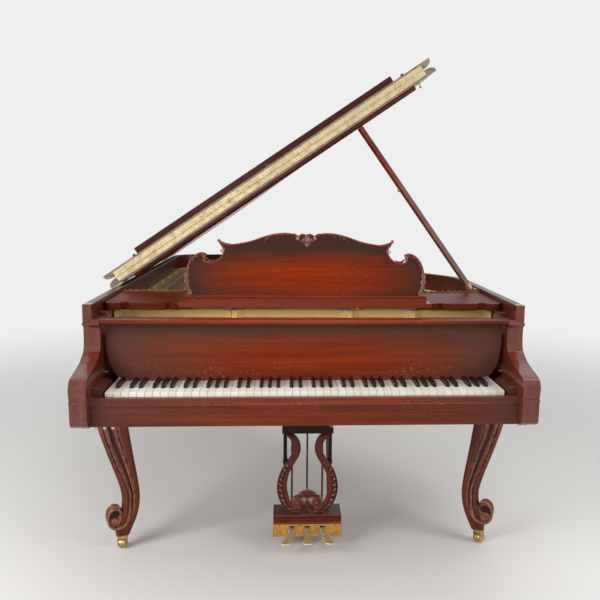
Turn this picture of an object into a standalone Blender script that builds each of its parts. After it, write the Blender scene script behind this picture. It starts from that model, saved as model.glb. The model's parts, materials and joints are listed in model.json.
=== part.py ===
"""Grand piano with an open lid, metres, +Z up, keyboard towards -Y.

The pieces are placed from the front of the white keys (y = 0), the middle of
the keyboard (x = 0) and the floor (z = 0). One empty then moves them all so
that the middle of the overall footprint is the origin.
"""

import math

import bmesh
import bpy
from mathutils import Matrix, Vector

# clearances
GAP = 0.0003
RUN = 0.0005

# keyboard
WHITE_KEYS = 52
WHITE_PITCH = 0.0235
KEY_SLIT = 0.0009
KEY_TOP = 0.720
WHITE_THICK = 0.0165
WHITE_VISIBLE = 0.148
HEAD_LENGTH = 0.050
SHARP_WIDTH = 0.0105
SHARP_RISE = 0.0125
SHARP_SLOT = 0.0009
KEY_LENGTH = 0.395
BALANCE_Y = 0.220
SHIFT_TRAVEL = 0.003
SINGLE_WHITES = (23, 24, 25)
SINGLE_SHARPS = (23, 24)
SINGLE_WHITE_NAMES = ("key_c4", "key_d4", "key_e4")
SINGLE_SHARP_NAMES = ("key_c4_sharp", "key_d4_sharp")
FRAME_TOP = 0.7032
FRAME_RAIL = 0.022

# case
CASE_HALF = 0.700
RIM_WALL = 0.028
LINING = 0.0234
RIM_TOP = 0.972
RIM_BOTTOM = 0.632
ARM_BACK = 0.140
CHEEK_BACK = 0.300
LEDGE_TOP = 0.924
TAIL_Y = 2.200
KEYBED_BOTTOM = 0.622
KEYBED_THICK = 0.0385
KEYBED_FRONT = -0.030
KEYBED_BACK = 0.566
SLIP_THICK = 0.022
SLIP_TOP = 0.7085
BLOCK_FRONT = -0.002
BLOCK_TOP = 0.733
BLOCK_WIDE = 0.030
RAIL_FRONT = 0.105
RAIL_BACK = 0.158
RAIL_THICK = 0.0165
BELLY_THICK = 0.028
INNER_TOP = 0.8638
BOARD_THICK = 0.008

# plate, bridges and strings
PLATE_BOTTOM = 0.889
PLATE_THICK = 0.011
STRUT_HEIGHT = 0.025
STRUT_NOSE = 0.300
STRUT_WIDE = 0.020
STRING_STARTS = (0.490, 0.518, 0.530, 0.540)
STRING_Z = 0.912
STRING_R = 0.0012
PIN_BLOCK_THICK = 0.035
PIN_BLOCK_BACK = 0.500

# fallboard
FALL_HALF = 0.640
FALL_HEIGHT = 0.1675
FALL_THICK = 0.017
FALL_BOTTOM = 0.7365
FALL_FACE = 0.148
FALL_CORNER = (0.052, 0.1165)

# lid
LID_HALF = 0.7400
LID_THICK = 0.025
LID_BOTTOM = 0.9745
LID_ANGLE = math.radians(34.26)
LID_AXIS = (-0.705, 0.985)
LID_SPLIT = 0.640
FLAP_FRONT = 0.085
KNUCKLE_R = 0.0024
LEAF_THICK = 0.0012
EDGE_COVE = 0.037
LEAF_INSET = 0.0075
APRON_HALF = 0.690
APRON_THICK = 0.0115
APRON_HEIGHT = 0.052
BATTEN_DROP = 0.018
PROP_SIDE = 0.018
PROP_FOOT = (0.6535, 0.618, 0.954)
PROP_HEAD = (0.211, 0.665, 1.577)
PROP_FOLD_TO = (0.330, 1.280, 0.952)

# music desk
SHELF_TOP = 0.9585
SHELF_THICK = 0.024
SHELF_FRONT = 0.240
SHELF_BACK = 0.560
SHELF_INNER = 0.427
SHELF_OUTER = 0.668
DESK_HALF = 0.405
DESK_FOOT_Y = 0.262
DESK_THICK = 0.016
DESK_LEAN = math.radians(10.0)

# legs and casters
LEG_X = 0.6724
LEG_Y = 0.4707
REAR_LEG = (-0.360, 2.000)
LEG_BOTTOM = 0.0578
LEG_TURN = math.radians(20.0)
VOLUTE = (0.022, 0.127, 0.030, 0.0405)
VOLUTE_EYE = (0.026, 0.118, 0.0135)
VOLUTE_HALF = 0.0245
WHEEL_R = 0.0190
WHEEL_WIDE = 0.026
CASTER_TRAIL = 0.010

# lyre
LYRE_X = 0.016
LYRE_FRONT = 0.455
LYRE_THICK = 0.030
BOX_HALF = 0.127
BOX_FRONT = 0.445
BOX_DEEP = 0.100
BOX_TOP = 0.132
BOX_BOTTOM = 0.048
BOX_WALL = 0.012
PLATE_TOP = 0.0965
NOTCH_HALF = 0.0135
PEDAL_PITCH = 0.0575
PEDAL_AXIS = (0.470, 0.082)
PEDAL_TIP = (0.360, 0.057)
ROD_Y = 0.512
ROD_R = 0.0035
LEVER_Z = 0.598
LEVER_AXIS_Y = 0.556

model = bpy.data.collections.new("grand_piano")
cutters = bpy.data.collections.new("cutters")


def clear_scene():
    for old in list(bpy.data.objects):
        bpy.data.objects.remove(old, do_unlink=True)
    bpy.context.scene.collection.children.link(model)
    bpy.context.scene.collection.children.link(cutters)


def material(name, color, roughness, metallic=0.0):
    made = bpy.data.materials.new(name)
    made.use_nodes = True
    shader = made.node_tree.nodes["Principled BSDF"]
    shader.inputs["Base Color"].default_value = (*color, 1.0)
    shader.inputs["Roughness"].default_value = roughness
    shader.inputs["Metallic"].default_value = metallic
    return made


MAHOGANY = material("mahogany", (0.20, 0.045, 0.022), 0.25)
BOARD_WOOD = material("spruce", (0.62, 0.42, 0.24), 0.5)
BEECH = material("beech", (0.50, 0.33, 0.20), 0.6)
IVORY = material("ivory", (0.84, 0.80, 0.70), 0.35)
EBONY = material("ebony", (0.012, 0.011, 0.012), 0.3)
GOLD_IRON = material("gold_iron", (0.62, 0.44, 0.16), 0.4, 0.6)
BRASS = material("brass", (0.60, 0.42, 0.15), 0.35, 1.0)


def add(name, mesh, paint, origin=(0, 0, 0)):
    """One object whose mesh is given in piano coordinates, with its origin moved to a point."""
    mesh.transform(Matrix.Translation(-Vector(origin)))
    mesh.name = name
    mesh.materials.clear()
    mesh.materials.append(paint)
    obj = bpy.data.objects.new(name, mesh)
    obj.location = origin
    model.objects.link(obj)
    return obj


def mesh_of(bm):
    """The finished mesh, with its faces pointing out."""
    mesh = bpy.data.meshes.new("shape")
    bm.normal_update()
    bmesh.ops.recalc_face_normals(bm, faces=bm.faces)
    if bm.calc_volume(signed=True) < 0:
        bmesh.ops.reverse_faces(bm, faces=bm.faces)
    bm.to_mesh(mesh)
    bm.free()
    return mesh


def joined(meshes):
    """Several meshes as one, still separate bodies."""
    bm = bmesh.new()
    for part in meshes:
        bm.from_mesh(part)
    mesh = bpy.data.meshes.new("shapes")
    bm.to_mesh(mesh)
    bm.free()
    return mesh


def box(low, high, bevel=0.0):
    bm = bmesh.new()
    bmesh.ops.create_cube(bm, size=1.0)
    size = [b - a for a, b in zip(low, high)]
    middle = [(a + b) / 2 for a, b in zip(low, high)]
    bmesh.ops.scale(bm, vec=size, verts=bm.verts)
    bmesh.ops.translate(bm, vec=middle, verts=bm.verts)
    if bevel:
        bmesh.ops.bevel(bm, geom=bm.edges, offset=bevel, segments=1, affect="EDGES")
    return mesh_of(bm)


def bar(start, end, radius, sides=8, end_radius=None):
    """A straight round bar, or a taper, between two points."""
    bm = bmesh.new()
    start, end = Vector(start), Vector(end)
    along = end - start
    top = radius if end_radius is None else end_radius
    bmesh.ops.create_cone(bm, cap_ends=True, segments=sides, radius1=radius, radius2=top, depth=along.length)
    turn = along.to_track_quat("Z", "Y").to_matrix().to_4x4()
    bm.transform(Matrix.Translation((start + end) / 2) @ turn)
    return mesh_of(bm)


def flat(outlines, thickness, to_place=None):
    """A flat outline (or several, with holes) as a filled 2D curve, extruded both ways, then a mesh."""
    curve = bpy.data.curves.new("outline", "CURVE")
    curve.dimensions = "2D"
    curve.fill_mode = "BOTH"
    curve.extrude = thickness / 2
    for outline in outlines:
        spline = curve.splines.new("POLY")
        spline.points.add(len(outline) - 1)
        spline.use_cyclic_u = True
        for point, (u, v) in zip(spline.points, outline):
            point.co = (u, v, 0, 1)
    holder = bpy.data.objects.new("outline", curve)
    cutters.objects.link(holder)
    graph = bpy.context.evaluated_depsgraph_get()
    mesh = bpy.data.meshes.new_from_object(holder.evaluated_get(graph))
    bpy.data.objects.remove(holder, do_unlink=True)
    bm = bmesh.new()
    bm.from_mesh(mesh)
    bmesh.ops.remove_doubles(bm, verts=bm.verts, dist=1e-5)
    if to_place is not None:
        bm.transform(to_place)
    return mesh_of(bm)


def plan(outlines, low, high):
    """An outline in x and y, from one height to another."""
    return flat(outlines, high - low, Matrix.Translation((0, 0, (low + high) / 2)))


SIDE_VIEW = Matrix(((0, 0, 1, 0), (1, 0, 0, 0), (0, 1, 0, 0), (0, 0, 0, 1)))
FRONT_VIEW = Matrix(((1, 0, 0, 0), (0, 0, -1, 0), (0, 1, 0, 0), (0, 0, 0, 1)))


def side(outline, left, right):
    """An outline in y and z, from one x to another."""
    return flat([outline], right - left, Matrix.Translation(((left + right) / 2, 0, 0)) @ SIDE_VIEW)


def front(outlines, near, far):
    """An outline in x and z, from one y to another."""
    return flat(outlines, far - near, Matrix.Translation((0, (near + far) / 2, 0)) @ FRONT_VIEW)


def boolean(obj, mesh, operation):
    """Cuts the mesh from the object, or joins it on."""
    helper = bpy.data.objects.new(obj.name + "_" + operation.lower(), mesh)
    helper.location = obj.location
    mesh.transform(Matrix.Translation(-Vector(obj.location)))
    helper.hide_render = True
    helper.display_type = "WIRE"
    cutters.objects.link(helper)
    change = obj.modifiers.new(operation.title() + str(len(obj.modifiers)), "BOOLEAN")
    change.operation = operation
    change.object = helper


def cut(obj, *meshes):
    boolean(obj, joined(meshes), "DIFFERENCE")


def join(obj, *meshes):
    for mesh in meshes:
        boolean(obj, mesh, "UNION")


def arc(center, radius, start, end, steps):
    """Points along an arc, angles in degrees, both ends included."""
    points = []
    for step in range(steps + 1):
        angle = math.radians(start + (end - start) * step / steps)
        points.append((center[0] + radius * math.cos(angle), center[1] + radius * math.sin(angle)))
    return points


def bezier(p0, p1, p2, p3, steps):
    """Points along a cubic curve, without its last one."""
    points = []
    for step in range(steps):
        t = step / steps
        weights = ((1 - t) ** 3, 3 * t * (1 - t) ** 2, 3 * t * t * (1 - t), t ** 3)
        points.append(tuple(sum(w * p[i] for w, p in zip(weights, (p0, p1, p2, p3))) for i in (0, 1)))
    return points


def spline(points, steps):
    """A smooth curve through the points (Catmull-Rom), any number of values in each."""
    line = []
    padded = [points[0]] + list(points) + [points[-1]]
    for a, b, c, d in zip(padded, padded[1:], padded[2:], padded[3:]):
        for step in range(steps):
            t = step / steps
            line.append(tuple(
                0.5 * (2 * q + (r - p) * t + (2 * p - 5 * q + 4 * r - s) * t * t + (3 * q - p - 3 * r + s) * t ** 3)
                for p, q, r, s in zip(a, b, c, d)))
    line.append(tuple(points[-1]))
    return line


def offset_path(path, distance):
    """An open path moved to its left (towards the inside of the case) by a distance."""
    moved = []
    for i, point in enumerate(path):
        before = Vector(path[max(i - 1, 0)])
        after = Vector(path[min(i + 1, len(path) - 1)])
        here = Vector(point)
        into = (here - before).normalized() if i else (after - here).normalized()
        out = (after - here).normalized() if i < len(path) - 1 else into
        tangent = (into + out).normalized()
        normal = Vector((tangent.y, -tangent.x))
        stretch = 1 / max(0.3, tangent.dot(into))
        moved.append(tuple(here + normal * distance * stretch))
    return moved


def clipped(path, y_from):
    """The part of the case path behind a given y, with its ends on that line."""
    kept = [p for p in path if p[1] > y_from + 1e-6]
    return [(kept[0][0], y_from)] + kept + [(kept[-1][0], y_from)]


def case_path(y_from):
    """The outside of the rim seen from above: spine, tail, bentside and treble side."""
    path = [(-CASE_HALF, y_from)]
    path += arc((-CASE_HALF + 0.13, TAIL_Y - 0.13), 0.13, 180, 90, 6)
    path += bezier((-0.42, TAIL_Y), (-0.25, TAIL_Y), (-0.15, 2.04), (-0.06, 1.86), 6)
    path += bezier((-0.06, 1.86), (0.06, 1.62), (0.24, 1.46), (0.40, 1.32), 7)
    path += bezier((0.40, 1.32), (0.58, 1.163), (CASE_HALF, 1.03), (CASE_HALF, 0.86), 7)
    path += [(CASE_HALF, 0.86), (CASE_HALF, y_from)]
    return path


def wall(path, outer, inner, low, high):
    """A bent wall between two offsets of the case path."""
    return plan([offset_path(path, outer) + offset_path(path, inner)[::-1]], low, high)


def make_case():
    outside = case_path(ARM_BACK + GAP)
    rim = add("rim", wall(outside, 0.0, RIM_WALL, RIM_BOTTOM, RIM_TOP), MAHOGANY)
    cut(rim, box((CASE_HALF - RIM_WALL - 0.001, PROP_FOOT[1] - 0.004, PROP_FOOT[2] - 0.004),
                 (CASE_HALF - 0.008, PROP_FOOT[1] + 0.004, PROP_FOOT[2] + 0.004)))
    behind = clipped(case_path(ARM_BACK), CHEEK_BACK + GAP)
    add("inner_rim", wall(behind, RIM_WALL + GAP, RIM_WALL + LINING + GAP, RIM_BOTTOM, INNER_TOP), BEECH)
    inner_half = CASE_HALF - RIM_WALL - LINING - 0.0006
    for sign, name in ((-1, "arm_left"), (1, "arm_right")):
        make_arm(name, sign, inner_half)
    x_in = inner_half - GAP
    keybed = add("keybed", box((-x_in, KEYBED_FRONT, KEYBED_BOTTOM),
                               (x_in, KEYBED_BACK, KEYBED_BOTTOM + KEYBED_THICK)), MAHOGANY)
    bracket = (LYRE_X - PEDAL_PITCH - 0.02, LYRE_X + PEDAL_PITCH + 0.02)
    join(keybed, box((bracket[0], LEVER_AXIS_Y - 0.004, LEVER_Z + 0.0085),
                     (bracket[1], LEVER_AXIS_Y + 0.004, KEYBED_BOTTOM + 0.004)))
    slip_low = KEYBED_BOTTOM + KEYBED_THICK + GAP
    bead = 0.6875
    face = KEYBED_FRONT
    slip = [(face, slip_low), (face, bead - 0.0035)]
    slip += arc((face, bead), 0.0035, 270, 90, 4)
    slip += [(face, SLIP_TOP - 0.005), (face + 0.005, SLIP_TOP), (face + SLIP_THICK, SLIP_TOP)]
    slip += [(face + SLIP_THICK, slip_low)]
    add("key_slip", side(slip, -x_in, x_in), MAHOGANY)
    for sign, name in ((-1, "key_block_left"), (1, "key_block_right")):
        outline = [(BLOCK_FRONT, slip_low), (BLOCK_FRONT, BLOCK_TOP - 0.010), (BLOCK_FRONT + 0.004, BLOCK_TOP - 0.010),
                   (BLOCK_FRONT + 0.004, BLOCK_TOP - 0.003), (BLOCK_FRONT + 0.008, BLOCK_TOP), (0.128, BLOCK_TOP),
                   (0.134, BLOCK_TOP - 0.006), (0.134, slip_low)]
        ends = sorted((sign * x_in, sign * (x_in - BLOCK_WIDE)))
        block = add(name, side(outline, *ends), MAHOGANY)
        step = sorted((sign * (x_in - BLOCK_WIDE - 0.01), sign * (x_in - BLOCK_WIDE + 0.008)))
        cut(block, box((step[0], -0.02, BLOCK_TOP - 0.006), (step[1], 0.2, BLOCK_TOP + 0.01)))
    rail_low = LEDGE_TOP - RAIL_THICK
    nose = arc((RAIL_FRONT + RAIL_THICK / 2, LEDGE_TOP - RAIL_THICK / 2), RAIL_THICK / 2, 270, 90, 6)
    add("nameboard_rail", side(nose + [(RAIL_BACK, LEDGE_TOP), (RAIL_BACK, rail_low)], -x_in, x_in), MAHOGANY)
    make_inside(behind, inner_half)


def make_arm(name, sign, inner_half):
    """An upright slab whose front edge is a long S with two beads, and a narrow block on top."""
    bead = 0.005
    profile = [(ARM_BACK, RIM_BOTTOM), (-0.050, RIM_BOTTOM), (-0.062, 0.640), (-0.066, 0.655), (-0.0675, 0.700)]
    profile += arc((-0.0675, 0.7058), bead, 270, 90, 4)[1:-1]
    profile += [(-0.0660, 0.712), (-0.0735, 0.738), (-0.0700, 0.756), (-0.058, 0.770)]
    profile += [(-0.040, 0.7765), (0.028, 0.790), (0.064, 0.800), (0.083, 0.809), (0.100, 0.8185)]
    profile += [(0.109, 0.8255), (0.1165, 0.845), (0.119, 0.870), (0.117, 0.895), (0.110, 0.9045)]
    profile += arc((0.105, 0.9105), bead, 270, 90, 4)[1:-1]
    profile += [(0.109, 0.9165), (0.109, LEDGE_TOP), (ARM_BACK, LEDGE_TOP)]
    ends = sorted((sign * inner_half, sign * CASE_HALF))
    arm = add(name, side(profile, *ends), MAHOGANY)
    top = sorted((sign * CASE_HALF, sign * (CASE_HALF - RIM_WALL)))
    join(arm, box((top[0], 0.1092, LEDGE_TOP - 0.006), (top[1], ARM_BACK, RIM_TOP)))
    cheek = sorted((sign * (inner_half + 0.0003), sign * (CASE_HALF - RIM_WALL - GAP)))
    join(arm, box((cheek[0], 0.126, RIM_BOTTOM), (cheek[1], CHEEK_BACK, LEDGE_TOP - 0.0002)))
    runner = sorted((sign * (inner_half + 0.0004), sign * (CASE_HALF - RIM_WALL - 2 * GAP)))
    runner_top = SHELF_TOP - SHELF_THICK - GAP
    join(arm, box((runner[0], 0.210, INNER_TOP + GAP), (runner[1], 0.5815, runner_top)))


def make_inside(behind, inner_half):
    """Pin block, belly rail and braces, soundboard, plate, bridges with their strings."""
    x_in = inner_half - GAP
    top = PLATE_BOTTOM - GAP
    add("pin_block", box((-x_in, 0.245, top - PIN_BLOCK_THICK), (x_in, PIN_BLOCK_BACK, top)), BEECH)
    belly = KEYBED_BACK + GAP
    braces = add("case_braces", box((-x_in, belly, RIM_BOTTOM), (x_in, belly + BELLY_THICK, INNER_TOP)), BEECH)
    for start, end, wide in (((-0.42, 0.58), (-0.42, 2.13), 0.05), ((-0.08, 0.58), (-0.24, 2.00), 0.05),
                             ((0.26, 0.58), (0.12, 1.45), 0.05)):
        start, end = Vector(start), Vector(end)
        along = (end - start).normalized()
        across = Vector((along.y, -along.x)) * wide / 2
        outline = [tuple(p) for p in (start + across, end + across, end - across, start - across)]
        join(braces, plan([outline], 0.665, 0.745))
    join(braces, box((-0.645, 1.930, RIM_BOTTOM), (-0.31, 2.063, 0.700)))
    join(braces, box((-0.12, 0.790, 0.668), (0.28, 0.840, 0.742)))
    front_y = belly + BELLY_THICK - 0.012
    board = clipped(case_path(ARM_BACK), front_y)
    board = offset_path(board, RIM_WALL + GAP)
    add("soundboard", plan([board], INNER_TOP + GAP, INNER_TOP + GAP + BOARD_THICK), BOARD_WOOD)
    edge = 0.6003
    ring = clipped(case_path(ARM_BACK), edge)
    outer = offset_path(ring, RIM_WALL + 2 * GAP)
    outline = [(-x_in, 0.2455)] + [(-x_in, edge)] + outer + [(x_in, edge), (x_in, 0.2455)]
    bass, tenor, low_treble, high_treble = [y + 0.001 for y in STRING_STARTS]
    windows = [
        [(-0.605, bass), (-0.285, bass), (-0.281, 1.975), (-0.575, 1.975), (-0.605, 1.950)],
        [(-0.222, tenor), (0.157, tenor), (0.160, 1.360), (0.100, 1.450), (-0.020, 1.660), (-0.140, 1.840), (-0.222, 1.900)],
        [(0.213, low_treble), (0.395, low_treble), (0.395, 1.150), (0.330, 1.215), (0.205, 1.360)],
        [(0.438, high_treble), (0.605, high_treble), (0.605, 0.860), (0.560, 0.960), (0.438, 1.080)],
    ]
    plate = add("cast_plate", plan([outline] + windows, PLATE_BOTTOM, PLATE_BOTTOM + PLATE_THICK), GOLD_IRON)
    web_top = PLATE_BOTTOM + PLATE_THICK
    skirt = offset_path(ring[1:-1], RIM_WALL + 0.0012) + offset_path(ring[1:-1], RIM_WALL + 0.020)[::-1]
    join(plate, plan([skirt], INNER_TOP + 2 * GAP + BOARD_THICK, PLATE_BOTTOM + 0.005))
    for nose, root, (x1, y1) in ((-0.242, -0.250, (-0.255, 1.980)), (0.151, 0.183, (0.181, 1.440)),
                                 (0.368, 0.412, (0.4165, 1.180))):
        half = STRUT_WIDE / 2
        middle = [(nose, STRUT_NOSE), (root, 0.470), (x1, y1)]
        strut = [(x - half, y) for x, y in middle] + [(x + half, y) for x, y in reversed(middle)]
        join(plate, plan([strut], PLATE_BOTTOM + 0.004, web_top + STRUT_HEIGHT))
    bars = ((-0.605, -0.255), (-0.245, 0.181), (0.191, 0.412), (0.421, 0.605))
    for (left, right), y in zip(bars, STRING_STARTS):
        join(plate, box((left, y - 0.018, web_top - 0.004), (right, y - 0.002, STRING_Z - STRING_R - RUN)))
    holes = [bar((x, y, 0.86), (x, y, 0.93), r, 12) for x, y, r in
             ((0.465, 1.195, 0.022), (0.375, 1.300, 0.022), (0.235, 1.430, 0.022), (-0.105, 1.900, 0.024),
              (-0.190, 2.040, 0.024), (-0.620, 2.020, 0.020))]
    cut(plate, *holes)
    make_strings()


def string_places():
    """(x, y, length) of each note's speaking string: straight rows, lengths growing towards the bass."""
    places = []
    sections = ((26, -0.588, -0.297), (26, -0.203, 0.146), (18, 0.226, 0.382), (18, 0.452, 0.590))
    note = 1
    for (count, left, right), y in zip(sections, STRING_STARTS):
        for step in range(count):
            x = left + (right - left) * step / (count - 1)
            length = 1.45 - 0.006 * (note - 1) if note <= 26 else 0.056 * 1.0515 ** (88 - note)
            places.append((x, y, length))
            note += 1
    return places


def make_strings():
    places = string_places()
    foot = INNER_TOP + 2 * GAP + BOARD_THICK
    wires = []
    for x, y, length in places:
        wires.append(bar((x, y - 0.010, STRING_Z), (x, y + length + 0.045, STRING_Z), STRING_R, 3))
    bass, treble = joined(wires[:26]), joined(wires[26:])
    low = [(x, y + length) for x, y, length in places]

    def ribbon(points, half):
        return [(x, y - half) for x, y in points] + [(x, y + half) for x, y in reversed(points)]

    first, last = low[0], low[25]
    bass_line = [(first[0] - 0.006, first[1]), (last[0] + 0.006, last[1])]
    bass_bridge = add("bass_bridge", plan([ribbon(bass_line, 0.014)], foot, STRING_Z + 0.0004), BEECH)
    join(bass_bridge, bass)
    picked = low[26:88:4] + [low[87]]
    start, end = picked[0], picked[-1]
    line = [(start[0] - 0.012, start[1] + 0.012)] + picked + [(end[0] + 0.010, end[1] - 0.002)]
    bridge = add("treble_bridge", plan([ribbon(line, 0.0125)], foot, PLATE_BOTTOM - 0.003), BEECH)
    for a, b in ((26, 52), (52, 70), (70, 88)):
        part = low[a:b:4] + [low[b - 1]]
        part = [(part[0][0] - 0.005, part[0][1])] + part + [(part[-1][0] + 0.005, part[-1][1])]
        join(bridge, plan([ribbon(part, 0.011)], PLATE_BOTTOM - 0.008, STRING_Z + 0.0004))
    join(bridge, treble)


def white_outline(index, tail):
    """One natural seen from above, notched where its neighbours are sharps."""
    left = (index - WHITE_KEYS / 2) * WHITE_PITCH + KEY_SLIT / 2
    right = left + WHITE_PITCH - KEY_SLIT
    cut_right = has_sharp(index)
    half = SHARP_WIDTH / 2 + SHARP_SLOT
    left_in = sharp_center(index - 1) + half if index > 0 and has_sharp(index - 1) else left
    right_in = sharp_center(index) - half if cut_right else right
    points = [(left, 0), (right, 0)]
    points += [(right, HEAD_LENGTH - 0.0006), (right_in, HEAD_LENGTH - 0.0006)] if cut_right else []
    points += [(right_in, tail), (left_in, tail)]
    if index > 0 and has_sharp(index - 1):
        points += [(left_in, HEAD_LENGTH - 0.0006), (left, HEAD_LENGTH - 0.0006)]
    return points


def has_sharp(index):
    """Whether a sharp stands between this natural and the next. Natural 0 is the lowest A."""
    if index < 0 or index >= WHITE_KEYS - 1:
        return False
    return (index - 2) % 7 in (0, 1, 3, 4, 5)


def sharp_center(index):
    """The middle of the sharp after a natural, moved a little to the side as on a real keyboard."""
    lean = {0: -0.0022, 1: 0.0022, 3: -0.0030, 4: 0.0, 5: 0.0030}
    return (index + 1 - WHITE_KEYS / 2) * WHITE_PITCH + lean[(index - 2) % 7]


def sharp_mesh(index):
    """A sharp: a sloping front, a narrowed top, and its key behind it under the fallboard."""
    top = KEY_TOP + SHARP_RISE
    low = FRAME_TOP + 0.0010
    outline = [(HEAD_LENGTH + 0.0004, low), (HEAD_LENGTH + 0.0004, KEY_TOP + 0.002), (HEAD_LENGTH + 0.0050, top),
               (WHITE_VISIBLE - 0.004, top), (WHITE_VISIBLE - 0.004, KEY_TOP - 0.001), (KEY_LENGTH + 0.015, KEY_TOP - 0.001),
               (KEY_LENGTH + 0.015, low)]
    x = sharp_center(index)
    mesh = side(outline, x - SHARP_WIDTH / 2, x + SHARP_WIDTH / 2)
    for vertex in mesh.vertices:
        if vertex.co.z > KEY_TOP + 0.003:
            vertex.co.x = x + (vertex.co.x - x) * 0.84
    return mesh


def make_keys():
    low = KEY_TOP - WHITE_THICK
    fixed = [i for i in range(WHITE_KEYS) if i not in SINGLE_WHITES]
    bodies = plan([white_outline(i, KEY_LENGTH) for i in fixed], FRAME_TOP - 0.0012, KEY_TOP)
    half = WHITE_KEYS / 2 * WHITE_PITCH
    bed_top = KEYBED_BOTTOM + KEYBED_THICK + GAP
    frame = add("natural_keys", box((-half + 0.002, WHITE_VISIBLE + 0.004, FRAME_TOP - 0.013),
                                    (half - 0.002, KEY_LENGTH - 0.004, FRAME_TOP)), IVORY)
    first = (SINGLE_WHITES[0] - WHITE_KEYS / 2) * WHITE_PITCH - 0.0012
    last = (SINGLE_WHITES[-1] + 1 - WHITE_KEYS / 2) * WHITE_PITCH + 0.0012
    well = FRAME_TOP - 0.0095
    cut(frame, box((first, 0.10, well), (last, BALANCE_Y - 0.004, FRAME_TOP + 0.01)),
        box((first, BALANCE_Y + 0.004, well), (last, 0.42, FRAME_TOP + 0.01)))
    join(frame, bodies)
    for y in (WHITE_VISIBLE + 0.030, KEY_LENGTH - 0.030):
        join(frame, box((-half + 0.004, y - FRAME_RAIL / 2, bed_top), (half - 0.004, y + FRAME_RAIL / 2, FRAME_TOP - 0.010)))
    for index, name in zip(SINGLE_WHITES, SINGLE_WHITE_NAMES):
        add(name, plan([white_outline(index, KEY_LENGTH)], FRAME_TOP + GAP, KEY_TOP), IVORY, (0, BALANCE_Y, FRAME_TOP))
    sharps = [i for i in range(WHITE_KEYS) if has_sharp(i)]
    rack = add("sharp_keys", box((-half + 0.010, KEY_LENGTH + 0.004, FRAME_TOP + 0.0004),
                                 (half - 0.010, KEY_LENGTH + 0.024, KEY_TOP - 0.004)), EBONY)
    cut(rack, box((first, 0.3, FRAME_TOP + 0.008), (last, KEY_LENGTH + 0.0175, KEY_TOP + 0.01)))
    join(rack, joined([sharp_mesh(i) for i in sharps if i not in SINGLE_SHARPS]))
    for index, name in zip(SINGLE_SHARPS, SINGLE_SHARP_NAMES):
        key = add(name, sharp_mesh(index), EBONY, (0, BALANCE_Y, FRAME_TOP))
        cut(key, box((-half, KEY_LENGTH - 0.002, 0.6), (half, KEY_LENGTH + 0.1, 0.8)))


def make_action():
    """The hammers on their rail, and the dampers hanging from theirs."""
    places = string_places()
    bed_top = KEYBED_BOTTOM + KEYBED_THICK + GAP
    hammers = []
    for x, _, _ in places:
        outline = [(0.440, 0.757), (0.528, 0.800), (0.532, 0.856), (0.543, 0.870), (0.551, 0.856), (0.546, 0.786), (0.440, 0.744)]
        hammers.append(side(outline, x - 0.0028, x + 0.0028))
    rack = add("hammer_rack", side([(0.432, bed_top), (0.432, 0.775), (0.452, 0.775), (0.452, bed_top + 0.012),
                                    (0.560, bed_top + 0.012), (0.560, bed_top)], -0.598, 0.598), BEECH)
    join(rack, joined(hammers))
    low = STRING_Z + STRING_R + GAP
    dampers = [box((x - 0.0028, 0.606, low), (x + 0.0028, 0.628, low + 0.0215)) for x, _, _ in places[:66]]
    left, right = places[0][0], places[65][0]
    rail = add("damper_rack", box((left - 0.006, 0.610, low + 0.0165), (right + 0.006, 0.624, low + 0.0240)), EBONY)
    join(rail, joined(dampers))


def make_fallboard():
    rx, rz = FALL_CORNER
    top = FALL_BOTTOM + FALL_HEIGHT
    half = FALL_HALF
    corner = [(math.cos(math.radians(a)), math.sin(math.radians(a))) for a in range(0, 91, 15)]
    outline = [(-half, top), (half, top)]
    outline += [(half - rx + rx * c, FALL_BOTTOM + rz - rz * s) for c, s in corner]
    outline += [(-half + rx - rx * c, FALL_BOTTOM + rz - rz * s) for c, s in reversed(corner)]
    axis = (0, FALL_FACE + FALL_THICK / 2, FALL_BOTTOM + 0.0105)
    board = add("fallboard", front([outline], FALL_FACE, FALL_FACE + FALL_THICK), MAHOGANY, axis)
    for sign in (-1, 1):
        ends = sorted((sign * (half - 0.075), sign * (half + 0.0080)))
        join(board, bar((ends[0], axis[1], axis[2]), (ends[1], axis[1], axis[2]), 0.0065, 10))


def lid_outline(y_from, y_to):
    """The lid seen from above, between two lines across it: the case outline with an overhang."""
    over = LID_HALF - CASE_HALF
    if y_to > 1.0:
        path = clipped(case_path(ARM_BACK), y_from + over)
        points = offset_path(path, -over)
        points[0] = (-LID_HALF, y_from)
        points[-1] = (LID_HALF, y_from)
        return points
    return [(-LID_HALF, y_from), (-LID_HALF, y_to), (LID_HALF, y_to), (LID_HALF, y_from)]


def lid_turn():
    """Turns a piece of the closed lid up about the spine hinge."""
    pin = Vector((LID_AXIS[0], 0, LID_AXIS[1]))
    return Matrix.Translation(pin) @ Matrix.Rotation(-LID_ANGLE, 4, "Y") @ Matrix.Translation(-pin)


def cove(half, z_edge, z_lip):
    """A hollow moulding along one side edge, as a profile in x and z to cut away."""
    inner = half - EDGE_COVE
    steps = 5
    points = []
    for step in range(steps + 1):
        t = math.radians(90 * step / steps)
        points.append((inner + EDGE_COVE * math.sin(t), z_edge + (z_lip - z_edge) * (1 - math.cos(t))))
    return points + [(half + 0.02, z_lip), (half + 0.02, z_edge + (z_edge - z_lip) * 0.5), (inner, z_edge + (z_edge - z_lip) * 0.5)]


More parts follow.
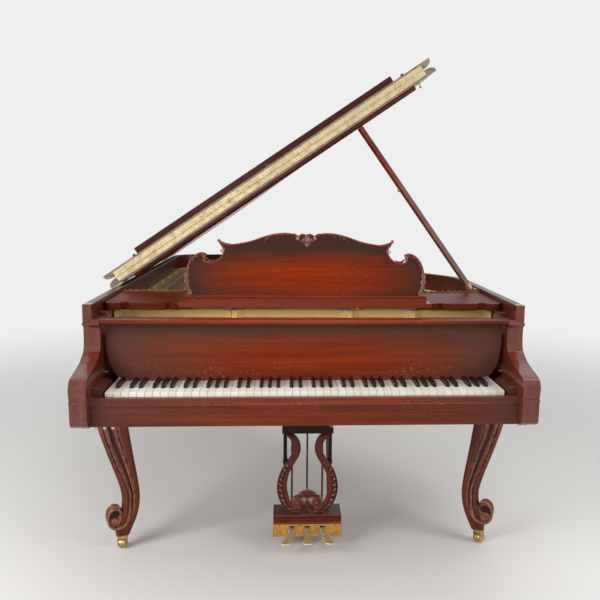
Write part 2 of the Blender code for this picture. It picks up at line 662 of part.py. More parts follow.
def make_lid():
    top = LID_BOTTOM + LID_THICK
    turn = lid_turn()
    pin_y = 1.2
    main = plan([lid_outline(LID_SPLIT, 3.0)], LID_BOTTOM, top)
    board = add("lid_main", main, MAHOGANY)
    for sign in (-1, 1):
        edge = [(sign * x, z) for x, z in cove(LID_HALF, top, LID_BOTTOM + 0.006)]
        cut(board, front([edge], LID_SPLIT - 0.01, 0.98))
    for y in (0.78, 1.80):
        cut(board, box((-0.80, y - 0.043, LID_BOTTOM - 0.01), (LID_AXIS[0] + 0.0050, y + 0.043, LID_AXIS[1] + 0.0050)))
    batten = [(LID_SPLIT + 0.004, LID_BOTTOM + 0.004), (LID_SPLIT + 0.004, LID_BOTTOM - 0.010),
              (LID_SPLIT + 0.012, LID_BOTTOM - BATTEN_DROP)]
    batten += [(LID_SPLIT + 0.046, LID_BOTTOM - BATTEN_DROP), (LID_SPLIT + 0.050, LID_BOTTOM + 0.004)]
    join(board, side([(y, z) for y, z in batten], -0.640, 0.640))
    join(board, box((0.655, LID_SPLIT + 0.012, LID_BOTTOM - 0.022), (0.667, LID_SPLIT + 0.016, LID_BOTTOM + 0.004)))
    join(board, box((0.658, LID_SPLIT + 0.013, LID_BOTTOM - 0.022), (0.664, LID_SPLIT + 0.034, LID_BOTTOM - 0.016)))
    hinge = (LID_AXIS[0], pin_y, LID_AXIS[1])
    finish_lid_piece(board, turn, hinge)
    flap_pin = (0, LID_SPLIT - KNUCKLE_R, top + KNUCKLE_R)
    fold = Matrix.Translation(Vector(flap_pin)) @ Matrix.Rotation(math.pi, 4, "X") @ Matrix.Translation(-Vector(flap_pin))
    flap = add("lid_flap", plan([lid_outline(FLAP_FRONT, LID_SPLIT - 2 * KNUCKLE_R)], LID_BOTTOM, top), MAHOGANY)
    for sign in (-1, 1):
        edge = [(sign * x, z) for x, z in cove(LID_HALF, top, LID_BOTTOM + 0.006)]
        cut(flap, front([edge], FLAP_FRONT - 0.01, LID_SPLIT + 0.01))
    apron_y = FLAP_FRONT + 0.002
    join(flap, box((-APRON_HALF, apron_y, LID_BOTTOM - APRON_HEIGHT), (APRON_HALF, apron_y + APRON_THICK, LID_BOTTOM + 0.004)))
    finish_lid_piece(flap, turn @ fold, (0, LID_SPLIT - KNUCKLE_R, top + KNUCKLE_R), turn)
    inner = LID_HALF - EDGE_COVE - 0.004
    leaf = add("hinge_leaf_main", box((-inner, LID_SPLIT - LEAF_THICK - GAP, LID_BOTTOM + LEAF_INSET),
                                      (inner, LID_SPLIT - GAP, top + 0.0012)), BRASS)
    join(leaf, bar((-inner, LID_SPLIT - KNUCKLE_R, top + KNUCKLE_R), (inner, LID_SPLIT - KNUCKLE_R, top + KNUCKLE_R),
                   KNUCKLE_R - 0.0004, 8))
    finish_lid_piece(leaf, turn, hinge)
    other = add("hinge_leaf_flap", box((-inner, LID_SPLIT - 2 * KNUCKLE_R + GAP, LID_BOTTOM + LEAF_INSET),
                                       (inner, LID_SPLIT - 2 * KNUCKLE_R + GAP + LEAF_THICK, top - 0.0001)), BRASS)
    finish_lid_piece(other, turn @ fold, (0, LID_SPLIT - KNUCKLE_R, top + KNUCKLE_R), turn)
    for y, name in ((0.78, "side_hinge_front"), (1.80, "side_hinge_rear")):
        barrel = add(name, bar((LID_AXIS[0], y - 0.042, LID_AXIS[1]), (LID_AXIS[0], y + 0.042, LID_AXIS[1]), 0.0042, 10), BRASS)
        join(barrel, box((-CASE_HALF - GAP - 0.0035, y - 0.040, RIM_TOP - 0.030), (-CASE_HALF - GAP, y + 0.040, LID_AXIS[1] + 0.001)))
    make_prop(turn)


def finish_lid_piece(obj, turn, pin, pin_turn=None):
    """Bakes a lid piece's turn into its mesh and its helpers' meshes, with the origin on its hinge line."""
    place = (pin_turn or turn) @ Vector(pin)
    shift = Matrix.Translation(-place) @ turn
    pieces = [obj] + [change.object for change in obj.modifiers]
    for piece in pieces:
        piece.data.transform(shift)
        piece.location = place


def prop_ends():
    """Where the stick starts, its direction and its length, which leaves a gap under the batten's sloping face."""
    foot = Vector(PROP_FOOT)
    up = (Vector(PROP_HEAD) - foot).normalized()
    fold = (Vector(PROP_FOLD_TO) - foot).normalized()
    axis = up.cross(fold).normalized()
    across = axis.cross(up).normalized()
    normal = Vector((-math.sin(LID_ANGLE), 0, math.cos(LID_ANGLE)))
    face = Vector((LID_AXIS[0], 0, LID_AXIS[1])) + normal * (LID_BOTTOM - BATTEN_DROP - LID_AXIS[1])
    corner = PROP_SIDE / 2 * (abs(normal.dot(axis)) + abs(normal.dot(across)))
    length = ((face - foot).dot(normal) - GAP - corner) / up.dot(normal)
    return foot, up, axis, across, length


def make_prop(turn):
    """The stick stands square to the open lid, on a pin in a bracket on the treble side of the rim."""
    foot, up, axis, across, length = prop_ends()
    frame = Matrix((axis, across, up)).transposed().to_4x4()
    half = PROP_SIDE / 2
    mesh = box((-half, -half, -0.0045), (half, half, length))
    mesh.transform(Matrix.Translation(foot) @ frame)
    stick = add("prop_stick", mesh, MAHOGANY, foot)
    pin = half + 0.0035
    join(stick, bar(foot - axis * pin, foot + axis * pin, 0.0032, 10))
    face = CASE_HALF - RIM_WALL - GAP
    y, z = foot.y, foot.z
    bracket = add("prop_bracket", box((face - 0.0025, y - 0.016, z - 0.020), (face, y + 0.016, z + 0.012)), BRASS)
    join(bracket, bar((face - 0.001, y, z), (face + 0.010, y, z), 0.003, 8))
    ear = foot - axis * (pin + 0.0004)
    reach = (face - 0.0026 - ear.x) / -axis.x
    join(bracket, bar(ear, ear - axis * reach, 0.0030, 8))
    return stick, bracket


def shelf_outline():
    """Serpentine side shelves joined by a straight tray behind the desk."""
    front = SHELF_FRONT
    half = spline(((SHELF_OUTER, front + 0.032), (0.658, front + 0.010), (0.640, front + 0.001), (0.612, front + 0.006)), 3)
    half += [(0.610, front + 0.022), (0.590, front + 0.026), (0.584, front + 0.012)]
    half += spline(((0.582, front + 0.006), (0.550, front + 0.001), (0.510, front), (0.464, front + 0.007)), 3)
    half += [(0.460, front + 0.016), (0.4475, front + 0.0155), (0.4465, front + 0.0065), (SHELF_INNER, front + 0.0058)]
    half += [(SHELF_INNER - 0.004, front)]
    points = half[::-1] + [(SHELF_OUTER, SHELF_BACK), (0.430, SHELF_BACK), (0.400, 0.415), (0.360, 0.385)]
    points += [(-x, y) for x, y in reversed(points)]
    return points


def make_desk():
    low = SHELF_TOP - SHELF_THICK
    shelf = add("music_shelf", plan([shelf_outline()], low, SHELF_TOP), MAHOGANY)
    join(shelf, box((-DESK_HALF, SHELF_FRONT + 0.004, SHELF_TOP - 0.004), (DESK_HALF, SHELF_FRONT + 0.014, SHELF_TOP + 0.010)))
    axis_y, axis_z = DESK_FOOT_Y + DESK_THICK / 2, SHELF_TOP + 0.009
    lean = Matrix.Translation((0, axis_y, axis_z)) @ Matrix.Rotation(-DESK_LEAN, 4, "X") @ Matrix.Translation((0, -axis_y, -axis_z))
    base = SHELF_TOP + 0.0018
    half = [(0.000, 0.232), (0.014, 0.236), (0.030, 0.229), (0.060, 0.238), (0.100, 0.236), (0.140, 0.226),
            (0.185, 0.210), (0.225, 0.201), (0.262, 0.197), (0.282, 0.203), (0.293, 0.212), (0.290, 0.196),
            (0.278, 0.182), (0.290, 0.160), (0.315, 0.145), (0.335, 0.150), (0.343, 0.158), (0.333, 0.171),
            (0.352, 0.176), (0.375, 0.162), (0.392, 0.135), (0.402, 0.105), (0.400, 0.072), (0.388, 0.052),
            (0.396, 0.044), (0.384, 0.026)]
    curve = spline(half, 2)
    outline = curve + [(DESK_HALF, 0.022), (DESK_HALF, 0.006)]
    outline = [(x, base + z) for x, z in outline]
    outline += [(-x, z) for x, z in reversed(outline)][:-1]
    panel = front([outline], DESK_FOOT_Y, DESK_FOOT_Y + DESK_THICK)
    panel.transform(lean)
    desk = add("music_desk", panel, MAHOGANY, (0, axis_y, axis_z))
    round_foot = arc((axis_y, axis_z), DESK_THICK / 2 + 0.0004, 180, 360, 10)
    rail = side(round_foot + [(round_foot[-1][0], base + 0.020), (round_foot[0][0], base + 0.020)], -DESK_HALF, DESK_HALF)
    rail.transform(lean)
    join(desk, rail)
    strut_top = lean @ Vector((0, DESK_FOOT_Y + DESK_THICK + 0.0048, base + 0.120))
    foot = Vector((0, 0.372, SHELF_TOP + 0.0055))
    strut = add("desk_strut", bar(foot, strut_top, 0.004, 8), MAHOGANY, strut_top)
    join(strut, bar((-0.035, strut_top.y, strut_top.z), (0.035, strut_top.y, strut_top.z), 0.0042, 8))


def leg_sections():
    """(height, distance along the outward direction, profile width, thickness) down a leg."""
    stations = ((0.588, 0.006, 0.100, 0.074), (0.547, 0.019, 0.110, 0.074), (0.507, 0.026, 0.113, 0.070), (0.470, 0.0235, 0.1060, 0.066),
                (0.400, 0.0085, 0.0955, 0.058), (0.330, -0.0084, 0.0829, 0.052), (0.270, -0.0233, 0.0722, 0.048),
                (0.210, -0.0340, 0.0637, 0.046), (0.160, -0.0320, 0.0605, 0.046), (0.120, -0.0214, 0.0600, 0.046),
                (0.090, -0.0080, 0.0620, 0.046), (0.072, -0.0035, 0.0550, 0.045), (LEG_BOTTOM, -0.0007, 0.0485, 0.044))
    return spline(stations, 2)


def make_leg(name, x, y, facing):
    """A cabriole leg lofted from rounded, fluted sections, with a volute at the foot. facing is its outward direction."""
    out = Vector((math.cos(facing), math.sin(facing), 0))
    across = Vector((-out.y, out.x, 0))
    bm = bmesh.new()
    rings = []
    # half of the section, from the back to the front: a wide flute, a narrow groove and a hollow front; flutes drift back lower down
    upper_half = ((-1.0, -0.55), (-0.75, -1.0), (0.00, -1.0), (0.24, -0.80), (0.46, -1.0), (0.72, -0.88), (0.84, -1.0), (1.0, -0.80), (1.0, -0.36))
    lower_half = ((-1.0, -0.55), (-0.80, -1.0), (-0.38, -1.0), (-0.17, -0.80), (0.06, -1.0), (0.57, -0.88), (0.76, -1.0), (1.0, -0.80), (1.0, -0.36))
    for z, s, wide, thick in leg_sections():
        center = Vector((x, y, z)) + out * s
        share = min(max((0.42 - z) / 0.20, 0.0), 1.0)
        half = [(a + (c - a) * share, b) for (a, b), (c, _) in zip(upper_half, lower_half)]
        shape = half + [(0.88, 0.0)] + [(a, -b) for a, b in reversed(half)]
        rings.append([bm.verts.new(center + out * (a * wide / 2) + across * (b * thick / 2)) for a, b in shape])
    count = len(rings[0])
    for upper, lower in zip(rings, rings[1:]):
        for i in range(count):
            j = (i + 1) % count
            bm.faces.new((upper[i], upper[j], lower[j], lower[i]))
    bm.faces.new(rings[0])
    bm.faces.new(rings[-1][::-1])
    bmesh.ops.triangulate(bm, faces=bm.faces)
    leg = add(name, mesh_of(bm), MAHOGANY)
    top = KEYBED_BOTTOM - GAP if y < 1.0 else RIM_BOTTOM - GAP
    plate_half = 0.050
    middle = Vector((x, y, 0)) + out * 0.028
    if y < 1.0:
        middle.x = math.copysign(min(abs(middle.x), 0.642), middle.x)
    join(leg, box((middle.x - plate_half, middle.y - plate_half, 0.5727), (middle.x + plate_half, middle.y + plate_half, top)))
    stand = Matrix((out, (0, 0, 1), -across)).transposed().to_4x4()
    s, z, half_wide, half_high = VOLUTE
    oval = [(s + half_wide * math.cos(turn), z + half_high * math.sin(turn)) for turn in (math.radians(15 * k + 7) for k in range(24))]
    join(leg, flat([oval], 2 * VOLUTE_HALF, Matrix.Translation((x, y, 0)) @ stand))
    eye = Vector((x, y, VOLUTE_EYE[1])) + out * VOLUTE_EYE[0]
    join(leg, bar(eye - across * (VOLUTE_HALF + 0.003), eye + across * (VOLUTE_HALF + 0.003), VOLUTE_EYE[2], 16))
    web = [(-0.020, 0.158), (0.000, 0.150), (0.020, 0.128), (0.030, 0.102), (0.014, 0.086), (-0.012, 0.082)]
    join(leg, flat([web], 0.042, Matrix.Translation((x, y, 0)) @ stand))
    return leg


def make_caster(name, x, y, heading):
    """A brass fork that swivels under the leg, and its wheel with a flat on the floor."""
    back = Vector((math.cos(heading), math.sin(heading), 0))
    axle_dir = Vector((-back.y, back.x, 0))
    hub = Vector((x, y, WHEEL_R)) + back * CASTER_TRAIL
    plate_z = LEG_BOTTOM - GAP
    fork = add("caster_fork_" + name, bar((x, y, plate_z - 0.0045), (x, y, plate_z), 0.020, 16), BRASS, (x, y, plate_z))
    turn = Matrix.Rotation(heading, 4, "Z")

    def cheek(sign):
        low = sign * (WHEEL_WIDE / 2 + 0.0009)
        ends = sorted((low, low + sign * 0.0030))
        ears = box((-0.007, ends[0], WHEEL_R - 0.007), (CASTER_TRAIL + 0.007, ends[1], plate_z - 0.003))
        ears.transform(Matrix.Translation((x, y, 0)) @ turn)
        return ears

    join(fork, cheek(-1))
    join(fork, cheek(1))
    crown = box((-0.009, -WHEEL_WIDE / 2 - 0.003, WHEEL_R * 2 + 0.0022), (0.012, WHEEL_WIDE / 2 + 0.003, plate_z - 0.003))
    crown.transform(Matrix.Translation((x, y, 0)) @ turn)
    join(fork, crown)
    sides = 16
    flat_r = WHEEL_R / math.cos(math.pi / sides)
    bm = bmesh.new()
    bmesh.ops.create_cone(bm, cap_ends=True, segments=sides, radius1=flat_r, radius2=flat_r, depth=WHEEL_WIDE)
    bmesh.ops.rotate(bm, verts=bm.verts, matrix=Matrix.Rotation(math.pi / sides, 3, "Z"))
    bmesh.ops.rotate(bm, verts=bm.verts, matrix=Matrix.Rotation(math.pi / 2, 3, "X"))
    bm.transform(Matrix.Translation(hub) @ turn)
    wheel = add("caster_wheel_" + name, mesh_of(bm), BRASS, hub)
    reach = WHEEL_WIDE / 2 + 0.0007
    join(wheel, bar(hub - axle_dir * reach, hub + axle_dir * reach, 0.004, 8))
    return hub


def ribbon_outline(points):
    """The outline of a band: each point is (x, z, width)."""
    left, right = [], []
    for i, (x, z, wide) in enumerate(points):
        a = points[max(i - 1, 0)]
        b = points[min(i + 1, len(points) - 1)]
        along = Vector((b[0] - a[0], b[1] - a[1])).normalized()
        normal = Vector((-along.y, along.x)) * wide / 2
        left.append((x + normal.x, z + normal.y))
        right.append((x - normal.x, z - normal.y))
    return left + right[::-1]


def make_lyre():
    x0 = LYRE_X
    back = LYRE_FRONT + LYRE_THICK
    block_low = 0.4425
    block = [(-0.095, block_low), (0.095, block_low), (0.095, 0.462), (0.078, 0.470), (0.078, 0.600), (0.090, 0.606),
             (0.090, KEYBED_BOTTOM - GAP), (-0.090, KEYBED_BOTTOM - GAP), (-0.090, 0.606), (-0.078, 0.600), (-0.078, 0.470), (-0.095, 0.462)]
    add("lyre_top_block", front([[(x + x0, z) for x, z in block]], LYRE_FRONT - 0.004, back + 0.014), MAHOGANY)
    stand = BOX_TOP + GAP
    stations = ((0.0085, 0.1680, 0.008), (0.0200, 0.1500, 0.012), (0.0450, 0.1430, 0.0200), (0.0710, 0.1640, 0.029), (0.0860, 0.1920, 0.038),
                (0.0955, 0.2380, 0.0375), (0.0870, 0.2870, 0.034), (0.0690, 0.3220, 0.029), (0.0540, 0.3450, 0.0275), (0.0410, 0.3760, 0.0290),
                (0.0435, 0.4060, 0.0300), (0.0580, 0.4290, 0.024), (0.0780, 0.4385, 0.010))
    band = ribbon_outline(spline(stations, 2))
    top_cap = block_low - GAP
    right = [(x, min(z, top_cap - 0.0008)) for x, z in band]
    lyre = add("lyre_scrolls", front([[(x + x0, z) for x, z in right]], LYRE_FRONT, back), MAHOGANY)
    join(lyre, front([[(x0 - x, z) for x, z in right]], LYRE_FRONT + 0.0002, back - 0.0002))
    for sign in (-1, 1):
        middle = (x0 + sign * 0.0372, 0.1750)
        join(lyre, bar((middle[0], LYRE_FRONT - 0.003, middle[1]), (middle[0], back - 0.004, middle[1]), 0.0215, 16))
        post = sorted((x0 + sign * 0.0765, x0 + sign * 0.0905))
        join(lyre, box((post[0], LYRE_FRONT + 0.006, 0.318), (post[1], back - 0.006, top_cap)))
        foot = sorted((x0 + sign * 0.0370, x0 + sign * 0.0530))
        join(lyre, box((foot[0], LYRE_FRONT + 0.003, stand), (foot[1], back - 0.003, 0.1460)))
    crest = [(-0.026, 0.172), (0.026, 0.172), (0.028, 0.194), (0.016, 0.209), (0.0, 0.229), (-0.016, 0.209), (-0.028, 0.194)]
    join(lyre, front([[(x + x0, z) for x, z in crest]], LYRE_FRONT + 0.003, back - 0.006))
    pendant = [(-0.020, 0.180), (-0.014, 0.160), (0.0, 0.1420), (0.014, 0.160), (0.020, 0.180)]
    join(lyre, front([[(x + x0, z) for x, z in pendant]], LYRE_FRONT + 0.004, back - 0.007))
    make_pedal_box(x0)


def make_pedal_box(x0):
    back = BOX_FRONT + BOX_DEEP
    shell = add("pedal_box", box((x0 - BOX_HALF, BOX_FRONT, BOX_BOTTOM), (x0 + BOX_HALF, back, BOX_TOP)), MAHOGANY)
    hollow = box((x0 - BOX_HALF + BOX_WALL, BOX_FRONT + BOX_WALL, BOX_BOTTOM - 0.01), (x0 + BOX_HALF - BOX_WALL, back - BOX_WALL, BOX_TOP - BOX_WALL))
    places = [x0 + i * PEDAL_PITCH for i in (-1, 0, 1)]
    slots = [box((x - NOTCH_HALF, BOX_FRONT - 0.01, BOX_BOTTOM - 0.01), (x + NOTCH_HALF, BOX_FRONT + BOX_WALL + 0.01, 0.0925)) for x in places]
    bores = [bar((x, ROD_Y, BOX_TOP - 0.02), (x, ROD_Y, BOX_TOP + 0.01), ROD_R + 0.001, 10) for x in places]
    groove = box((x0 - 0.113, BOX_FRONT - 0.01, 0.1165), (x0 + 0.113, BOX_FRONT + 0.004, 0.1260))
    cut(shell, hollow, groove)
    cut(shell, *slots)
    cut(shell, *bores)
    brass = add("pedal_plate", box((x0 - BOX_HALF + 0.001, BOX_FRONT - GAP - 0.0025, BOX_BOTTOM), (x0 + BOX_HALF - 0.001, BOX_FRONT - GAP, PLATE_TOP)), BRASS)
    cut(brass, *[box((x - NOTCH_HALF, BOX_FRONT - 0.02, BOX_BOTTOM - 0.01), (x + NOTCH_HALF, BOX_FRONT + 0.02, 0.0895)) for x in places])
    axle = bar((x0 - BOX_HALF + BOX_WALL - 0.002, PEDAL_AXIS[0], PEDAL_AXIS[1]), (x0 + BOX_HALF - BOX_WALL + 0.002, PEDAL_AXIS[0], PEDAL_AXIS[1]), 0.003, 8)
    join(shell, axle)
    for x, name, flare in zip(places, ("left", "centre", "right"), (-0.024, 0.0, 0.024)):
        make_pedal(name, x, flare)
    for sign, name in ((-1, "lyre_brace_left"), (1, "lyre_brace_right")):
        x = x0 + sign * 0.0845
        add(name, bar((x, back + GAP + 0.0050, 0.100), (x, 0.815, 0.6645), 0.005, 8), BRASS)


def make_pedal(name, x, flare):
    """A brass pedal: a shank that widens and sweeps out to a rounded toe, its rod and its trap lever."""
    axis_y, axis_z = PEDAL_AXIS
    tip_y, tip_z = PEDAL_TIP
    stations = [(axis_y + 0.058, axis_z, 0.0, 0.016), (axis_y - 0.012, axis_z, 0.0, 0.0185), (axis_y - 0.045, axis_z - 0.004, 0.0, 0.0195),
                (axis_y - 0.075, axis_z - 0.014, flare * 0.35, 0.024), (axis_y - 0.098, axis_z - 0.022, flare * 0.8, 0.0335),
                (tip_y + 0.004, tip_z, flare, 0.034), (tip_y - 0.004, tip_z - 0.001, flare * 1.1, 0.020)]
    bm = bmesh.new()
    rings = []
    for y, z, dx, wide in stations:
        thick = 0.0075
        corners = ((-1, -0.55), (-0.75, -1), (0.75, -1), (1, -0.55), (1, 0.55), (0.75, 1), (-0.75, 1), (-1, 0.55))
        drop = 0.0075 if y > axis_y - 0.02 else 0.0
        rings.append([bm.verts.new((x + dx + a * wide / 2, y, z - drop + b * thick / 2)) for a, b in corners])
    for near, far in zip(rings, rings[1:]):
        for i in range(8):
            j = (i + 1) % 8
            bm.faces.new((near[i], near[j], far[j], far[i]))
    bm.faces.new(rings[0])
    bm.faces.new(rings[-1][::-1])
    pedal = add("pedal_" + name, mesh_of(bm), BRASS, (x, axis_y, axis_z))
    rest = axis_z - 0.0075 + 0.00375 + GAP
    rod_top = LEVER_Z - 0.008 - GAP
    add("pedal_rod_" + name, bar((x, ROD_Y, rest), (x, ROD_Y, rod_top), ROD_R, 8), BRASS)
    add("trap_lever_" + name, box((x - 0.009, ROD_Y - 0.010, LEVER_Z - 0.008), (x + 0.009, 0.700, LEVER_Z + 0.008)), BEECH, (x, LEVER_AXIS_Y, LEVER_Z))


def center_on_footprint():
    """Hangs everything on one empty, moved so that the overall box stands on z = 0 with its middle at x = y = 0."""
    graph = bpy.context.evaluated_depsgraph_get()
    low = Vector((math.inf, math.inf, math.inf))
    high = -low
    for obj in model.objects:
        evaluated = obj.evaluated_get(graph)
        mesh = evaluated.to_mesh()
        for vertex in mesh.vertices:
            point = obj.matrix_world @ vertex.co
            low = Vector(map(min, low, point))
            high = Vector(map(max, high, point))
        evaluated.to_mesh_clear()
    origin = bpy.data.objects.new("piano_origin", None)
    model.objects.link(origin)
    for obj in list(model.objects) + list(cutters.objects):
        if obj is not origin:
            obj.parent = origin
    origin.location = (-(low.x + high.x) / 2, -(low.y + high.y) / 2, -low.z)
    print("piano_origin", [round(v, 5) for v in origin.location])


def main():
    clear_scene()
    make_case()
    make_keys()
    make_action()
    make_fallboard()
    make_lid()
    make_desk()
    for sign, name in ((-1, "left"), (1, "right")):
        facing = -LEG_TURN if sign > 0 else LEG_TURN - math.pi
        make_leg("leg_front_" + name, sign * LEG_X, LEG_Y, facing)
    make_leg("leg_rear", REAR_LEG[0], REAR_LEG[1], math.radians(90))
    make_caster("front_left", -LEG_X, LEG_Y, math.radians(90))
    make_caster("front_right", LEG_X, LEG_Y, math.radians(40))
    make_caster("rear", REAR_LEG[0], REAR_LEG[1], math.radians(60))
    make_lyre()
    bpy.context.view_layer.update()
    center_on_footprint()


main()
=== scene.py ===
# Grand piano with a raised lid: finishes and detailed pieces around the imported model.
# Lengths are metres. Pieces are measured from the front of the white keys, the middle
# of the keyboard and the floor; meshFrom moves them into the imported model's place.
import json
import math

import bmesh
import bpy
import numpy as np
from mathutils import Matrix, Vector

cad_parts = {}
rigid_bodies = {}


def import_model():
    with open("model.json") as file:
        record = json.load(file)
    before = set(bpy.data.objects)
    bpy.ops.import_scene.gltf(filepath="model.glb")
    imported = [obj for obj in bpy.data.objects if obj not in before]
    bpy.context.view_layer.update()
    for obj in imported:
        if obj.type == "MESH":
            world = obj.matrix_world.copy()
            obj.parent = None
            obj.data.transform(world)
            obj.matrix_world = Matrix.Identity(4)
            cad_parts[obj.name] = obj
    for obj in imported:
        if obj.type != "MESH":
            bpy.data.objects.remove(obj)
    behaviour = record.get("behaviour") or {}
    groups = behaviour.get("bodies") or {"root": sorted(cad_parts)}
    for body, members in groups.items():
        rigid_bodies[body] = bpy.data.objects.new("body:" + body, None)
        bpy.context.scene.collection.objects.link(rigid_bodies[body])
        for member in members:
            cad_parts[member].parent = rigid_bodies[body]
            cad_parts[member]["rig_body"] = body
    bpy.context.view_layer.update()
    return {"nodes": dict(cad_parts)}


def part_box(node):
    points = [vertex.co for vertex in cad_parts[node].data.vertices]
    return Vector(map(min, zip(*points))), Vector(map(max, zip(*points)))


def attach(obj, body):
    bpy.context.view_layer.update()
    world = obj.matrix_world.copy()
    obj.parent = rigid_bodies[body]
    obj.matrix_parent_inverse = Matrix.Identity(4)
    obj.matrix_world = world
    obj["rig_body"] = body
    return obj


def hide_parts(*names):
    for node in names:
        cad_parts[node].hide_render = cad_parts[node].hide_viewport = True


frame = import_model()
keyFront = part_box("natural_keys")[0].y
scene = bpy.context.scene
print("frame loaded, white keys start at", round(keyFront, 4))


# ---- shapes: a part is (points, groups of faces with the same number of corners)

def grid(points, wrapRows=False, wrapColumns=False, caps=False):
    # quads between neighbouring rows and columns of points, optionally closed both ways
    rows, columns = points.shape[:2]
    i, j = np.meshgrid(np.arange(rows if wrapRows else rows - 1),
                       np.arange(columns if wrapColumns else columns - 1), indexing="ij")
    nextI, nextJ = (i + 1) % rows, (j + 1) % columns
    quads = np.stack((i * columns + j, i * columns + nextJ, nextI * columns + nextJ, nextI * columns + j), -1)
    groups = [quads.reshape(-1, 4)]
    if caps:
        ring = np.arange(columns)
        groups += [ring[None, ::-1], (ring + (rows - 1) * columns)[None]]
    return points.reshape(-1, 3), groups


def merged(*parts):
    starts = np.cumsum([0] + [len(points) for points, _ in parts])
    groups = [group + start for (_, own), start in zip(parts, starts) for group in own]
    return np.concatenate([points for points, _ in parts]), groups


def moved(part, change):
    return change(part[0]), part[1]


def prism(outline, low, high, axis="x"):
    # a closed outline carried straight along one axis
    u, v = np.asarray(outline, float).T
    rings = [{"x": (u * 0 + level, u, v), "y": (u, u * 0 + level, v), "z": (u, v, u * 0 + level)}[axis]
             for level in (low, high)]
    return grid(np.array(rings).transpose(0, 2, 1), wrapColumns=True, caps=True)


def block(low, high):
    outline = [(low[1], low[2]), (high[1], low[2]), (high[1], high[2]), (low[1], high[2])]
    return prism(outline, low[0], high[0])


def smoothLine(points, steps):
    # Catmull-Rom: every span is a cubic through its two ends, leaning on their neighbours
    points = np.asarray(points, float)
    padded = np.concatenate((points[:1], points, points[-1:]))
    t = (np.arange(steps) / steps)[None, :, None]
    p, q, r, s = (padded[i:len(padded) - 3 + i][:, None] for i in range(4))
    line = 0.5 * (2 * q + (r - p) * t + (2 * p - 5 * q + 4 * r - s) * t ** 2 + (3 * q - p - 3 * r + s) * t ** 3)
    return np.concatenate((line.reshape(-1, points.shape[1]), points[-1:]))


def bezierLine(corners, steps):
    # cubic Bezier, without its last point
    t = (np.arange(steps) / steps)[:, None]
    a, b, c, d = np.asarray(corners, float)
    return (1 - t) ** 3 * a + 3 * t * (1 - t) ** 2 * b + 3 * t * t * (1 - t) * c + t ** 3 * d


def arcLine(center, radius, start, end, steps):
    angle = np.radians(np.linspace(start, end, steps + 1))
    return np.stack((center[0] + radius * np.cos(angle), center[1] + radius * np.sin(angle)), -1)


def roundedBox(a0, a1, b0, b1, radius, steps=4):
    # a rectangle with quarter circles at its corners
    corners = ((a1 - radius, b0 + radius, -90), (a1 - radius, b1 - radius, 0),
               (a0 + radius, b1 - radius, 90), (a0 + radius, b0 + radius, 180))
    return np.concatenate([arcLine((a, b), radius, start, start + 90, steps) for a, b, start in corners])


def unit(vectors):
    return vectors / np.maximum(np.linalg.norm(vectors, axis=-1, keepdims=True), 1e-12)


def sweep(path, profile, up, closed=False):
    # each profile point rides on the path: sideways by its first value, upwards by its second
    path = np.asarray(path, float)
    ahead = np.roll(path, -1, 0) - np.roll(path, 1, 0) if closed else np.gradient(path, axis=0)
    ahead = unit(ahead)
    across = unit(np.cross(ahead, np.broadcast_to(np.asarray(up, float), path.shape)))
    rise = np.cross(across, ahead)
    profile = np.broadcast_to(profile, (len(path),) + np.shape(profile)[-2:])
    points = path[:, None] + across[:, None] * profile[..., :1] + rise[:, None] * profile[..., 1:]
    return grid(points, wrapRows=closed, wrapColumns=True, caps=not closed)


def circle(sides):
    angle = np.linspace(0, 2 * np.pi, sides, endpoint=False)
    return np.stack((np.cos(angle), np.sin(angle)), -1)


def tube(path, radius, sides=10, up=(0, 1, 0), closed=False):
    # a circle carried along the path, its radius given once or for every path point
    path = np.asarray(path, float)
    radius = np.broadcast_to(radius, len(path))[:, None, None]
    return sweep(path, circle(sides)[None] * radius, up, closed)


def turned(profile, center, axis, sides=24):
    # a (radius, height) profile turned about an axis
    axis = unit(np.asarray(axis, float))
    first = unit(np.cross(axis, (0, 0, 1) if abs(axis[2]) < 0.9 else (1, 0, 0)))
    second = np.cross(axis, first)
    radius, height = np.asarray(profile, float).T
    ring = circle(sides)
    spokes = ring[:, :1] * first + ring[:, 1:] * second
    points = np.asarray(center) + height[:, None, None] * axis + radius[:, None, None] * spokes[None]
    return grid(points, wrapColumns=True, caps=True)


def ball(center, radius, sides=12, axis=(0, 0, 1), squash=1.0):
    angle = np.radians(np.linspace(-86, 86, max(5, sides // 2)))
    return turned(np.stack((radius * np.cos(angle), squash * radius * np.sin(angle)), -1), center, axis, sides)


def spiral(center, u, v, outer, inner, turns, start, bandOuter, bandInner, sides=10, steps=28):
    # a tapering round band that winds in from the outer to the inner radius
    count = int(turns * steps)
    part = np.linspace(0, 1, count)
    angle = math.radians(start) + part * turns * 2 * np.pi
    reach = outer + (inner - outer) * part ** 0.8
    u, v = np.asarray(u, float), np.asarray(v, float)
    path = np.asarray(center) + (reach * np.cos(angle))[:, None] * u + (reach * np.sin(angle))[:, None] * v
    return tube(path, bandOuter + (bandInner - bandOuter) * part, sides, np.cross(u, v))


